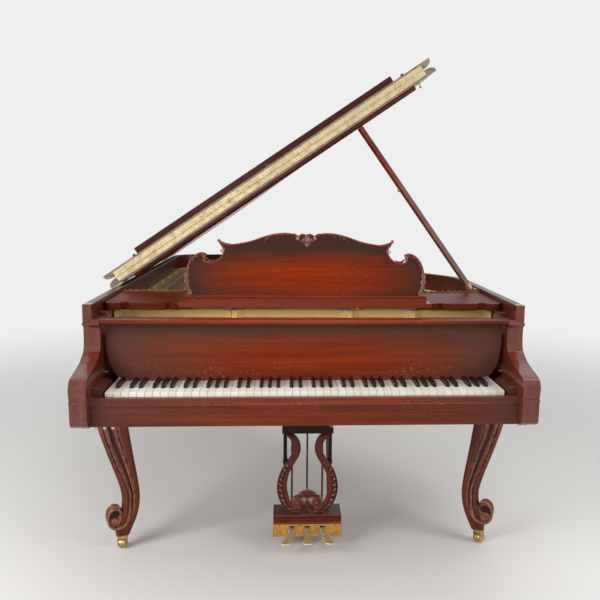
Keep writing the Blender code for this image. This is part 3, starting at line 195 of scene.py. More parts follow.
def carvedLeaf(spine, width, height, lobes, toSpace, back=0.0006, columns=17):
    # an acanthus leaf: scalloped edge, arched surface with a furrow for each lobe and a sunk midrib
    spine = np.asarray(spine, float)
    u = np.linspace(0, 1, len(spine))[:, None]
    v = np.concatenate((np.linspace(-1, 1, columns), np.linspace(1, -1, 5)[1:-1]))[None]
    envelope = np.sin(np.pi * np.clip(u, 0.015, 0.985) ** 0.7) ** 0.75
    scallop = 0.70 + 0.30 * np.abs(np.cos(np.pi * lobes * u)) ** 0.7
    ahead = unit(np.gradient(spine, axis=0))
    normal = np.stack((-ahead[:, 1], ahead[:, 0]), -1)
    curl = 0.10 * width * np.abs(v) ** 2 * envelope
    place = spine[:, None] + normal[:, None] * (v * width / 2 * envelope * scallop)[..., None]
    place = place + ahead[:, None] * curl[..., None]
    furrow = 1 - 0.45 * np.abs(v) * np.cos(np.pi * lobes * u + 1.6 * np.abs(v)) ** 2
    arch = np.sqrt(np.clip(1 - v ** 2, 0, 1)) * furrow - 0.28 * np.exp(-(v / 0.13) ** 2)
    depth = height * envelope ** 0.6 * arch
    depth = np.where(np.arange(v.shape[1])[None] < columns, depth, -back + 0 * depth)
    return grid(toSpace(place, depth), wrapColumns=True, caps=True)


# ---- objects: every new piece gets its material and its body here

def meshFrom(name, part):
    points, groups = part
    corners = np.concatenate([group.ravel() for group in groups])
    sizes = np.concatenate([np.full(len(group), group.shape[1]) for group in groups])
    mesh = bpy.data.meshes.new(name)
    mesh.vertices.add(len(points))
    mesh.vertices.foreach_set("co", (points + (0, keyFront, 0)).astype(np.float32).ravel())
    mesh.loops.add(len(corners))
    mesh.loops.foreach_set("vertex_index", corners.astype(np.int32))
    mesh.polygons.add(len(sizes))
    mesh.polygons.foreach_set("loop_start", (np.cumsum(sizes) - sizes).astype(np.int32))
    mesh.update(calc_edges=True)
    mesh.validate()
    return mesh


def tidied(mesh, merge=0.0, flatten=0.0):
    # merges doubles, drops edges inside flat areas and turns the faces outwards
    work = bmesh.new()
    work.from_mesh(mesh)
    if merge:
        bmesh.ops.remove_doubles(work, verts=work.verts, dist=merge)
    if flatten:
        bmesh.ops.dissolve_limit(work, angle_limit=math.radians(flatten), verts=work.verts, edges=work.edges)
    bmesh.ops.recalc_face_normals(work, faces=work.faces)
    work.to_mesh(mesh)
    work.free()


def ridges(mesh):
    # how far each point stands out from the mean of its neighbours, or lies below it, against their distance
    count = len(mesh.vertices)
    points, normals = (np.empty(count * 3, np.float32) for _ in range(2))
    mesh.vertices.foreach_get("co", points)
    mesh.vertices.foreach_get("normal", normals)
    points, normals = points.reshape(-1, 3), normals.reshape(-1, 3)
    edges = np.empty(len(mesh.edges) * 2, np.int32)
    mesh.edges.foreach_get("vertices", edges)
    a, b = edges.reshape(-1, 2).T
    total, span, degree = np.zeros((count, 3)), np.zeros(count), np.zeros(count)
    for start, end in ((a, b), (b, a)):
        np.add.at(total, start, points[end])
        np.add.at(span, start, np.linalg.norm(points[end] - points[start], axis=1))
        np.add.at(degree, start, 1)
    degree = np.maximum(degree, 1)
    out = ((points - total / degree[:, None]) * normals).sum(1) / np.maximum(span / degree, 1e-6)
    for name, values in (("ridge", out), ("hollow", -out)):
        mesh.attributes.new(name, "FLOAT", "POINT").data.foreach_set("value", np.clip(values, 0, 1).astype(np.float32))


def finished(name, mesh, material, body, replaces=(), bevel=0.0, steps=2, sharp=38):
    if any(word in name for word in ("_carved", "_leaves", "_rosette", "_gallery", "_bead")):
        ridges(mesh)
    mesh.materials.clear()
    mesh.materials.append(material)
    mesh.shade_smooth()
    mesh.set_sharp_from_angle(angle=math.radians(sharp))
    piece = bpy.data.objects.new(name, mesh)
    scene.collection.objects.link(piece)
    if bevel:
        edge = piece.modifiers.new("edges", "BEVEL")
        edge.width, edge.segments = bevel, steps
        edge.limit_method, edge.angle_limit = "ANGLE", math.radians(sharp)
        edge.harden_normals = True
    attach(piece, body)
    if replaces:
        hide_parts(*replaces)
    return piece


def build(name, part, material, body, replaces=(), bevel=0.0, steps=2, sharp=38):
    mesh = meshFrom(name, part)
    tidied(mesh)
    return finished(name, mesh, material, body, replaces, bevel, steps, sharp)


def softened(node, material, bevel, steps=2, sharp=32, flatten=1.0, second=None):
    # a CAD node's own shape with rounded edges; second is a material and the test of the faces that get it
    mesh = frame["nodes"][node].data.copy()
    tidied(mesh, merge=2e-5, flatten=flatten)
    piece = finished(node + "_finish", mesh, material, frame["nodes"][node]["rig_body"], (node,),
                     bevel, steps, sharp)
    if second:
        recolored(mesh, *second)
    return piece


def recolored(mesh, material, test):
    mesh.materials.append(material)
    centers, normals = (np.empty(len(mesh.polygons) * 3, np.float32) for _ in range(2))
    mesh.polygons.foreach_get("center", centers)
    mesh.polygons.foreach_get("normal", normals)
    chosen = test(centers.reshape(-1, 3) - (0, keyFront, 0), normals.reshape(-1, 3))
    mesh.polygons.foreach_set("material_index", chosen.astype(np.int32))


# ---- camera, light and floor

view = {"place": (-0.0762, -2.2471, 1.3094), "yaw": 3.674, "pitch": 7.052, "roll": -0.671,
        "lens": 45.216, "shift": (-0.0525, -0.0153)}


def makeCamera():
    yaw, pitch, roll = (math.radians(view[name]) for name in ("yaw", "pitch", "roll"))
    ahead = Vector((math.sin(yaw) * math.cos(pitch), math.cos(yaw) * math.cos(pitch), -math.sin(pitch)))
    right = Vector((math.cos(yaw), -math.sin(yaw), 0))
    down = ahead.cross(right)
    across = right * math.cos(roll) + down * math.sin(roll)
    upward = right * math.sin(roll) - down * math.cos(roll)
    data = bpy.data.cameras.new("camera")
    data.sensor_width, data.lens = 36, view["lens"]
    data.shift_x, data.shift_y = view["shift"]
    camera = bpy.data.objects.new("camera", data)
    scene.collection.objects.link(camera)
    camera.matrix_world = Matrix((across, upward, -ahead)).transposed().to_4x4()
    camera.location = Vector(view["place"]) + Vector((0, keyFront, 0))
    scene.camera = camera


lamps = {
    "left": {"place": (-2.6, -2.7, 2.2), "aim": (0, 0.3, 0.7), "size": 1.8, "power": 95},
    "right": {"place": (2.9, -2.4, 2.1), "aim": (0, 0.3, 0.7), "size": 1.8, "power": 52},
    "above": {"place": (0.6, -0.6, 4.2), "aim": (0.1, 0.6, 0.8), "size": 2.6, "power": 45},
    "front": {"place": (-0.2, -3.4, 1.0), "aim": (0, 0.3, 0.85), "size": 1.2, "power": 5},
}
surround = {"floor": (0.80, 0.79, 0.77), "background": (0.86, 0.86, 0.86), "ambient": 0.42, "floorSize": 80.0,
            "fadeFrom": 1.3, "fadeTo": 5.0}


def makeLight():
    for name, lamp in lamps.items():
        data = bpy.data.lights.new(name, "AREA")
        data.shape, data.size, data.energy = "SQUARE", lamp["size"], lamp["power"]
        holder = bpy.data.objects.new(name, data)
        scene.collection.objects.link(holder)
        place, aim = Vector(lamp["place"]), Vector(lamp["aim"])
        holder.location = place
        holder.rotation_euler = (aim - place).to_track_quat("-Z", "Y").to_euler()
    world = bpy.data.worlds.new("studio")
    scene.world = world
    world.use_nodes = True
    tree = world.node_tree
    tree.nodes.clear()
    out = tree.nodes.new("ShaderNodeOutputWorld")
    shown, lit = tree.nodes.new("ShaderNodeBackground"), tree.nodes.new("ShaderNodeBackground")
    shown.inputs["Color"].default_value = (*surround["background"], 1)
    lit.inputs["Color"].default_value = (1, 1, 1, 1)
    lit.inputs["Strength"].default_value = surround["ambient"]
    rays, mix = tree.nodes.new("ShaderNodeLightPath"), tree.nodes.new("ShaderNodeMixShader")
    seen, any3 = tree.nodes.new("ShaderNodeMath"), tree.nodes.new("ShaderNodeMath")
    seen.operation = any3.operation = "MAXIMUM"
    tree.links.new(rays.outputs["Is Camera Ray"], seen.inputs[0])
    tree.links.new(rays.outputs["Is Glossy Ray"], seen.inputs[1])
    tree.links.new(seen.outputs[0], any3.inputs[0])
    tree.links.new(rays.outputs["Is Transmission Ray"], any3.inputs[1])
    tree.links.new(any3.outputs[0], mix.inputs["Fac"])
    tree.links.new(lit.outputs[0], mix.inputs[1])
    tree.links.new(shown.outputs[0], mix.inputs[2])
    tree.links.new(mix.outputs[0], out.inputs["Surface"])


def makeFloor():
    half = surround["floorSize"] / 2
    mesh = bpy.data.meshes.new("floor")
    mesh.from_pydata([(-half, -half, 0), (half, -half, 0), (half, half, 0), (-half, half, 0)], [], [(0, 1, 2, 3)])
    floor = bpy.data.objects.new("floor", mesh)
    scene.collection.objects.link(floor)
    paint = bpy.data.materials.new("floor")
    paint.use_nodes = True
    shader = paint.node_tree.nodes["Principled BSDF"]
    shader.inputs["Base Color"].default_value = (*surround["floor"], 1)
    shader.inputs["Roughness"].default_value = 0.9
    # far away the floor turns into the background, for the camera and for reflections only
    tree = paint.node_tree
    far = tree.nodes.new("ShaderNodeEmission")
    far.inputs["Color"].default_value = (*surround["background"], 1)
    place = tree.nodes.new("ShaderNodeTexCoord").outputs["Object"]
    length = tree.nodes.new("ShaderNodeVectorMath")
    length.operation = "LENGTH"
    tree.links.new(place, length.inputs[0])
    share = tree.nodes.new("ShaderNodeMapRange")
    share.interpolation_type = "SMOOTHSTEP"
    share.inputs["From Min"].default_value, share.inputs["From Max"].default_value = surround["fadeFrom"], surround["fadeTo"]
    tree.links.new(length.outputs["Value"], share.inputs["Value"])
    rays, either, amount = (tree.nodes.new("ShaderNode" + kind) for kind in ("LightPath", "Math", "Math"))
    either.operation, amount.operation = "MAXIMUM", "MULTIPLY"
    tree.links.new(rays.outputs["Is Camera Ray"], either.inputs[0])
    tree.links.new(rays.outputs["Is Glossy Ray"], either.inputs[1])
    tree.links.new(either.outputs[0], amount.inputs[0])
    tree.links.new(share.outputs["Result"], amount.inputs[1])
    mix = tree.nodes.new("ShaderNodeMixShader")
    tree.links.new(amount.outputs[0], mix.inputs["Fac"])
    tree.links.new(shader.outputs[0], mix.inputs[1])
    tree.links.new(far.outputs[0], mix.inputs[2])
    tree.links.new(mix.outputs[0], tree.nodes["Material Output"].inputs["Surface"])
    mesh.materials.append(paint)


makeCamera()
makeLight()
makeFloor()
scene.view_settings.view_transform = "Standard"
print("camera, light and floor ready")


# ---- node groups shared by the materials

def newGroup(name, inputs, outputs):
    tree = bpy.data.node_groups.new(name, "ShaderNodeTree")
    for label, kind, value in inputs:
        socket = tree.interface.new_socket(label, in_out="INPUT", socket_type="NodeSocket" + kind)
        if value is not None:
            socket.default_value = value
    for label, kind in outputs:
        tree.interface.new_socket(label, in_out="OUTPUT", socket_type="NodeSocket" + kind)
    return tree, tree.nodes.new("NodeGroupInput"), tree.nodes.new("NodeGroupOutput")


def put(tree, kind, links=None, values=None, **settings):
    # adds a node; links and values are given by socket name or number
    node = tree.nodes.new("ShaderNode" + kind)
    for key, value in settings.items():
        setattr(node, key, value)
    for key, value in (values or {}).items():
        node.inputs[key].default_value = value
    for key, source in (links or {}).items():
        tree.links.new(source, node.inputs[key])
    return node


def math2(tree, operation, a, b=None, clamp=False):
    node = put(tree, "Math", operation=operation, use_clamp=clamp)
    for index, value in enumerate((a, b)):
        if value is None:
            continue
        if isinstance(value, (int, float)):
            node.inputs[index].default_value = value
        else:
            tree.links.new(value, node.inputs[index])
    return node.outputs[0]


def mixColor(tree, factor, a, b, blend="MIX"):
    node = put(tree, "Mix", data_type="RGBA", blend_type=blend)
    for index, value in ((0, factor), (6, a), (7, b)):
        if isinstance(value, (int, float, tuple)):
            node.inputs[index].default_value = value
        else:
            tree.links.new(value, node.inputs[index])
    return node.outputs[2]


def ramp(tree, source, stops):
    node = put(tree, "ValToRGB", {"Fac": source})
    elements = node.color_ramp.elements
    for index, (place, value) in enumerate(stops):
        element = elements[index] if index < 2 else elements.new(place)
        element.position = place
        element.color = value if isinstance(value, tuple) else (value, value, value, 1)
    return node.outputs["Color"]


def noise(tree, vector, scale, detail=4.0, rough=0.55, distort=0.0):
    return put(tree, "TexNoise", {"Vector": vector},
               {"Scale": scale, "Detail": detail, "Roughness": rough, "Distortion": distort}).outputs["Fac"]


def makeWoodGroup():
    # broad ribbons and fine dark pores, both long in the direction in which Place is squeezed
    tree, given, out = newGroup("woodGrain", [("Place", "Vector", None), ("Light", "Color", (0.4, 0.1, 0.04, 1)),
                                              ("Dark", "Color", (0.1, 0.02, 0.01, 1)), ("Scale", "Float", 14.0),
                                              ("Pores", "Float", 0.5)],
                                [("Color", "Color"), ("Height", "Float"), ("Shade", "Float")])
    place, scale = given.outputs["Place"], given.outputs["Scale"]
    broad = put(tree, "TexNoise", {"Vector": place, "Scale": scale}, {"Detail": 3.0, "Roughness": 0.6, "Distortion": 0.25})
    fine = put(tree, "TexNoise", {"Vector": place, "Scale": math2(tree, "MULTIPLY", scale, 5.0)},
               {"Detail": 4.0, "Roughness": 0.65})
    pore = put(tree, "TexNoise", {"Vector": place, "Scale": math2(tree, "MULTIPLY", scale, 22.0)}, {"Detail": 2.0})
    ribbons = math2(tree, "ADD", math2(tree, "MULTIPLY", broad.outputs["Fac"], 0.62),
                    math2(tree, "MULTIPLY", fine.outputs["Fac"], 0.38))
    shade = ramp(tree, ribbons, ((0.34, 0.0), (0.68, 1.0)))
    dots = ramp(tree, pore.outputs["Fac"], ((0.56, 0.0), (0.70, 1.0)))
    deep = math2(tree, "MULTIPLY", dots, given.outputs["Pores"])
    wood = mixColor(tree, shade, given.outputs["Dark"], given.outputs["Light"])
    color = mixColor(tree, deep, wood, given.outputs["Dark"])
    tree.links.new(color, out.inputs["Color"])
    tree.links.new(math2(tree, "SUBTRACT", math2(tree, "MULTIPLY", ribbons, 0.3), deep), out.inputs["Height"])
    tree.links.new(ribbons, out.inputs["Shade"])
    return tree


def makeLitMiddleGroup():
    # a painted pool of light: 1 in the middle of the piece, falling to 0 towards a distance along x and along z, broken
    # up by soft noise; the lacquers darken the colour where it falls, as painted shade
    tree, given, out = newGroup("paintedLitMiddle", [("Place", "Vector", None), ("Reach", "Float", 0.62),
                                               ("Middle", "Float", 0.8), ("Rise", "Float", 0.1)], [("Mask", "Float")])
    split = put(tree, "SeparateXYZ", {"Vector": given.outputs["Place"]})
    side = math2(tree, "DIVIDE", math2(tree, "ABSOLUTE", split.outputs["X"]), given.outputs["Reach"])
    off = math2(tree, "ABSOLUTE", math2(tree, "SUBTRACT", split.outputs["Z"], given.outputs["Middle"]))
    height = math2(tree, "DIVIDE", off, given.outputs["Rise"])
    part = math2(tree, "SQRT", math2(tree, "ADD", math2(tree, "POWER", side, 3.0), math2(tree, "POWER", height, 3.0)))
    soft = noise(tree, given.outputs["Place"], 4.0, 3.0)
    swung = math2(tree, "ADD", part, math2(tree, "MULTIPLY", math2(tree, "SUBTRACT", soft, 0.5), 0.55))
    mask = math2(tree, "SUBTRACT", 1.0, math2(tree, "POWER", math2(tree, "MAXIMUM", swung, 0.0), 1.5), clamp=True)
    tree.links.new(mask, out.inputs["Mask"])
    return tree


def makeSpeckGroup():
    # small pale scuffs, gathered in patches round a height
    tree, given, out = newGroup("scuffs", [("Place", "Vector", None), ("Amount", "Float", 0.5), ("Middle", "Float", 0.75),
                                           ("Rise", "Float", 10.0)], [("Mask", "Float")])
    place = given.outputs["Place"]
    split = put(tree, "SeparateXYZ", {"Vector": place})
    off = math2(tree, "ABSOLUTE", math2(tree, "SUBTRACT", split.outputs["Z"], given.outputs["Middle"]))
    band = math2(tree, "SUBTRACT", 1.0, math2(tree, "DIVIDE", off, given.outputs["Rise"]), clamp=True)
    long = put(tree, "Mapping", {"Vector": place}, {"Scale": (0.45, 1, 1), "Location": (-0.099, 0, 0)}).outputs[0]
    patches = ramp(tree, noise(tree, long, 9.0, 3.0), ((0.44, 0.0), (0.62, 1.0)))
    chips = ramp(tree, noise(tree, long, 230.0, 3.0, 0.7), ((0.58, 0.0), (0.64, 1.0)))
    both3 = math2(tree, "MULTIPLY", math2(tree, "MULTIPLY", patches, chips), band)
    tree.links.new(math2(tree, "MULTIPLY", both3, given.outputs["Amount"], clamp=True), out.inputs["Mask"])
    return tree


def makeDustGroup():
    # a thin uneven film, thicker on faces that look up
    tree, given, out = newGroup("dustFilm", [("Place", "Vector", None), ("Normal", "Vector", None),
                                             ("Amount", "Float", 0.2)], [("Mask", "Float")])
    up = put(tree, "SeparateXYZ", {"Vector": given.outputs["Normal"]}).outputs["Z"]
    film = ramp(tree, noise(tree, given.outputs["Place"], 9.0, 5.0), ((0.3, 0.25), (0.75, 1.0)))
    mask = math2(tree, "MULTIPLY", math2(tree, "MULTIPLY", film, math2(tree, "MAXIMUM", up, 0.0)),
                 given.outputs["Amount"], clamp=True)
    tree.links.new(mask, out.inputs["Mask"])
    return tree


def makeTarnishGroup():
    # brown stains and a finer cloudiness for old brass and bronze paint
    tree, given, out = newGroup("tarnish", [("Place", "Vector", None), ("Bright", "Color", (0.6, 0.42, 0.16, 1)),
                                            ("Stain", "Color", (0.22, 0.12, 0.05, 1)), ("Scale", "Float", 30.0),
                                            ("Amount", "Float", 0.6)],
                                [("Color", "Color"), ("Rough", "Float"), ("Height", "Float")])
    place, scale = given.outputs["Place"], given.outputs["Scale"]
    cloud = put(tree, "TexNoise", {"Vector": place, "Scale": scale}, {"Detail": 6.0, "Roughness": 0.68}).outputs["Fac"]
    grit = put(tree, "TexNoise", {"Vector": place, "Scale": math2(tree, "MULTIPLY", scale, 9.0)}, {"Detail": 3.0})
    stain = math2(tree, "MULTIPLY", ramp(tree, cloud, ((0.40, 0.0), (0.68, 1.0))), given.outputs["Amount"])
    tree.links.new(mixColor(tree, stain, given.outputs["Bright"], given.outputs["Stain"]), out.inputs["Color"])
    tree.links.new(stain, out.inputs["Rough"])
    tree.links.new(math2(tree, "ADD", math2(tree, "MULTIPLY", cloud, 0.6),
                         math2(tree, "MULTIPLY", grit.outputs["Fac"], 0.4)), out.inputs["Height"])
    return tree


woodGroup, litMiddleGroup, speckGroup = makeWoodGroup(), makeLitMiddleGroup(), makeSpeckGroup()
dustGroup, tarnishGroup = makeDustGroup(), makeTarnishGroup()


def placed(tree, group, links, values=None):
    node = tree.nodes.new("ShaderNodeGroup")
    node.node_tree = group
    for key, value in (values or {}).items():
        node.inputs[key].default_value = value
    for key, source in links.items():
        tree.links.new(source, node.inputs[key])
    return node


def newMaterial(name, rough, coat=0.0, metallic=0.0, coatRough=0.1, sheen=0.0):
    made = bpy.data.materials.new(name)
    made.use_nodes = True
    tree = made.node_tree
    shader = tree.nodes["Principled BSDF"]
    for key, value in (("Roughness", rough), ("Coat Weight", coat), ("Metallic", metallic),
                       ("Coat Roughness", coatRough), ("Sheen Weight", sheen)):
        shader.inputs[key].default_value = value
    place = tree.nodes.new("ShaderNodeTexCoord").outputs["Object"]
    return made, tree, shader, place


def bumped(tree, shader, height, strength, distance):
    bump = put(tree, "Bump", {"Height": height}, {"Strength": strength, "Distance": distance})
    tree.links.new(bump.outputs[0], shader.inputs["Normal"])


# grain: how much each axis is squeezed; ends: what is left of the colour outside the bright middle, a pool of light
# painted into the colour (reach, middle and rise place it); the greyish tint some lacquers get outside that middle is
# painted shade; on carvings the pale ridges are partly wear and partly a painted highlight, the dark hollows painted
# shade
lacquers = {
    "panelLacquer": {"grain": (0.045, 1, 1), "light": (0.300, 0.037, 0.004), "dark": (0.135, 0.012, 0.002),
                     "ends": 0.30, "edgeShadeGrey": 0.42, "reach": 0.60, "middle": 0.785, "rise": 0.115, "specks": 0.85, "speckAt": (0.752, 0.040),
                     "coat": 0.05, "shine": 0.06},
    "railLacquer": {"grain": (0.045, 1, 1), "light": (0.280, 0.034, 0.005), "dark": (0.130, 0.013, 0.002),
                    "ends": 0.45, "reach": 0.60, "middle": 0.94, "rise": 5.0, "specks": 0.25, "speckAt": (0.94, 5.0),
                    "coat": 0.15},
    "deskLacquer": {"grain": (0.045, 1, 1), "light": (0.290, 0.030, 0.003), "dark": (0.140, 0.011, 0.0015),
                    "ends": 0.07, "edgeShadeGrey": 0.22, "reach": 0.385, "middle": 1.042, "rise": 0.090, "specks": 0.12, "speckAt": (1.0, 0.3),
                    "coat": 0.03, "shine": 0.04},
    "frontLacquer": {"grain": (0.04, 1, 1), "light": (0.215, 0.029, 0.005), "dark": (0.075, 0.008, 0.002),
                     "ends": 0.40, "reach": 0.75, "middle": 0.8, "rise": 5.0, "specks": 0.45, "speckAt": (0.69, 0.05), "dust": 0.06,
                     "edgeShadeGrey": 0.30},
    "wingLacquer": {"grain": (0.05, 1, 1), "light": (0.150, 0.028, 0.012), "dark": (0.055, 0.010, 0.005),
                    "ends": 0.9, "reach": 5.0, "middle": 0.9, "rise": 5.0, "specks": 0.2, "speckAt": (0.95, 5.0),
                    "coat": 0.0, "shine": 0.02},
    "armLacquer": {"grain": (1, 1, 0.05), "light": (0.190, 0.034, 0.013), "dark": (0.070, 0.012, 0.006),
                   "ends": 0.8, "reach": 1.0, "middle": 0.7, "rise": 5.0, "specks": 0.10, "speckAt": (0.75, 5.0), "coat": 0.90},
    "edgeLacquer": {"grain": (0.2, 1, 1), "light": (0.330, 0.055, 0.016), "dark": (0.130, 0.018, 0.007),
                    "ends": 0.55, "reach": 0.80, "middle": 1.0, "rise": 5.0, "specks": 0.2, "speckAt": (1.0, 5.0), "ridgeWearAndHighlight": 0.75},
    "carvedLacquer": {"grain": (1, 1, 0.1), "light": (0.170, 0.030, 0.012), "dark": (0.060, 0.010, 0.005),
                      "ends": 0.9, "reach": 5.0, "middle": 0.3, "rise": 5.0, "specks": 0.3, "speckAt": (0.3, 5.0), "ridgeWearAndHighlight": 0.55},
    "reliefLacquer": {"grain": (1, 1, 0.3), "light": (0.200, 0.030, 0.008), "dark": (0.060, 0.009, 0.004),
                      "ends": 0.8, "reach": 5.0, "middle": 1.0, "rise": 5.0, "specks": 0.1, "speckAt": (1.0, 5.0), "ridgeWearAndHighlight": 1.0,
                      "pale": (0.72, 0.58, 0.50), "coat": 0.5},
    "lyreLacquer": {"grain": (1, 1, 0.1), "light": (0.200, 0.026, 0.008), "dark": (0.060, 0.008, 0.003),
                    "ends": 0.9, "reach": 5.0, "middle": 0.3, "rise": 5.0, "specks": 0.2, "speckAt": (0.3, 5.0), "ridgeWearAndHighlight": 0.9,
                    "pale": (0.58, 0.42, 0.33), "coat": 0.3},
    # a near-black copy of the stand lacquer: painted shade for the lyre's top block and posts, which lie in shadow
    # under the keybed
    "paintedShadeLacquer": {"grain": (1, 1, 0.1), "light": (0.022, 0.006, 0.004), "dark": (0.008, 0.003, 0.002),
                     "ends": 0.9, "reach": 5.0, "middle": 0.3, "rise": 5.0, "specks": 0.1, "speckAt": (0.3, 5.0), "coat": 0.15, "shine": 0.08},
    "caseLacquer": {"grain": (1, 0.04, 1), "light": (0.110, 0.020, 0.009), "dark": (0.038, 0.008, 0.005),
                    "ends": 0.8, "reach": 1.2, "middle": 0.8, "rise": 5.0, "specks": 0.15, "speckAt": (0.8, 5.0), "dust": 0.10},
    "standLacquer": {"grain": (1, 1, 0.05), "light": (0.125, 0.021, 0.009), "dark": (0.038, 0.008, 0.005),
                     "ends": 0.75, "reach": 1.0, "middle": 0.5, "rise": 5.0, "specks": 0.2, "speckAt": (0.5, 5.0), "dust": 0.05,
                     "ridgeWearAndHighlight": 0.35},
    "legLacquer": {"grain": (1, 1, 0.05), "light": (0.190, 0.030, 0.009), "dark": (0.060, 0.009, 0.003),
                   "ends": 0.75, "reach": 1.0, "middle": 0.5, "rise": 5.0, "specks": 0.10, "speckAt": (0.5, 5.0), "ridgeWearAndHighlight": 0.55,
                   "pale": (0.46, 0.20, 0.12), "coat": 0.25, "sense": 9.0},
    "lidLacquer": {"grain": (1, 0.04, 1), "light": (0.100, 0.016, 0.008), "dark": (0.034, 0.006, 0.004),
                   "ends": 0.8, "reach": 1.2, "middle": 1.2, "rise": 5.0, "specks": 0.06, "speckAt": (1.2, 5.0), "dust": 0.08},
}


def makeLacquer(name, look):
    made, tree, shader, place = newMaterial(name, 0.34, coat=look.get("coat", 0.18), coatRough=0.09)
    shader.inputs["Specular IOR Level"].default_value = look.get("shine", 0.12)
    squeezed = put(tree, "Mapping", {"Vector": place}, {"Scale": look["grain"]}).outputs[0]
    grain = placed(tree, woodGroup, {"Place": squeezed},
                   {"Light": (*look["light"], 1), "Dark": (*look["dark"], 1), "Scale": 26.0, "Pores": 0.55})
    # painted light: the colour is brightest in the middle of the piece and darkens towards its ends, as painted shade
    fade = placed(tree, litMiddleGroup, {"Place": place}, {"Reach": look["reach"], "Middle": look["middle"], "Rise": look["rise"]})
    level = math2(tree, "ADD", math2(tree, "MULTIPLY", fade.outputs["Mask"], 1 - look["ends"]), look["ends"])
    paintedLightTint = put(tree, "CombineColor", {"Red": level, "Green": math2(tree, "POWER", level, 0.75),
                                        "Blue": math2(tree, "POWER", level, 0.35)})
    wood = mixColor(tree, 1.0, grain.outputs["Color"], paintedLightTint.outputs[0], "MULTIPLY")
    scuffs = placed(tree, speckGroup, {"Place": place}, {"Amount": look["specks"], "Middle": look["speckAt"][0],
                                                         "Rise": look["speckAt"][1]})
    color = mixColor(tree, scuffs.outputs["Mask"], wood, (0.50, 0.27, 0.15, 1))
    haze = noise(tree, place, 6.0, 3.0)
    rough = math2(tree, "ADD", math2(tree, "MULTIPLY", haze, 0.14), 0.24)
    # painted shade: a greyish tint over the parts outside the painted light in the middle
    if "edgeShadeGrey" in look:
        edge = math2(tree, "SUBTRACT", 1.0, fade.outputs["Mask"], clamp=True)
        color = mixColor(tree, math2(tree, "MULTIPLY", edge, look["edgeShadeGrey"]), color, (0.150, 0.078, 0.060, 1))
    # on carvings: pale rubbed ridges, partly wear and partly a painted highlight, and near-black hollows, a painted
    # shade
    if "ridgeWearAndHighlight" in look:
        ridge, hollow = (math2(tree, "MULTIPLY", put(tree, "Attribute", attribute_name=kind).outputs["Fac"],
                               look.get("sense", 1.0)) for kind in ("ridge", "hollow"))
        wornAndLitRidges = math2(tree, "MULTIPLY", ramp(tree, ridge, ((0.08, 0.0), (0.42, 1.0))),
                       math2(tree, "MULTIPLY", ramp(tree, noise(tree, place, 60.0, 3.0), ((0.35, 0.2), (0.65, 1.0))), look["ridgeWearAndHighlight"]))
        sunk = ramp(tree, hollow, ((0.02, 0.0), (0.16, 0.85)))
        color = mixColor(tree, sunk, color, (0.012, 0.006, 0.005, 1))
        color = mixColor(tree, wornAndLitRidges, color, (*look.get("pale", (0.50, 0.30, 0.20)), 1))
    if "dust" in look:
        normal = tree.nodes.new("ShaderNodeNewGeometry").outputs["Normal"]
        dust = placed(tree, dustGroup, {"Place": place, "Normal": normal}, {"Amount": look["dust"]})
        color = mixColor(tree, dust.outputs["Mask"], color, (0.42, 0.38, 0.34, 1))
        rough = math2(tree, "ADD", rough, math2(tree, "MULTIPLY", dust.outputs["Mask"], 0.5))
    tree.links.new(color, shader.inputs["Base Color"])
    tree.links.new(rough, shader.inputs["Roughness"])
    bumped(tree, shader, grain.outputs["Height"], 0.22, 0.0004)
    return made


bareWoods = {
    "edgeWood": {"grain": (0.05, 1, 1), "light": (0.30, 0.22, 0.15), "dark": (0.12, 0.085, 0.06), "rough": 0.55},
    "beechWood": {"grain": (1, 0.06, 1), "light": (0.52, 0.34, 0.20), "dark": (0.34, 0.20, 0.11), "rough": 0.55},
    "spruceWood": {"grain": (0.04, 1, 1), "light": (0.62, 0.40, 0.19), "dark": (0.44, 0.25, 0.10), "rough": 0.40},
}


def makeBareWood(name, look):
    made, tree, shader, place = newMaterial(name, look["rough"])
    squeezed = put(tree, "Mapping", {"Vector": place}, {"Scale": look["grain"]}).outputs[0]
    grain = placed(tree, woodGroup, {"Place": squeezed},
                   {"Light": (*look["light"], 1), "Dark": (*look["dark"], 1), "Scale": 40.0, "Pores": 0.4})
    tree.links.new(grain.outputs["Color"], shader.inputs["Base Color"])
    bumped(tree, shader, grain.outputs["Height"], 0.3, 0.0004)
    return made


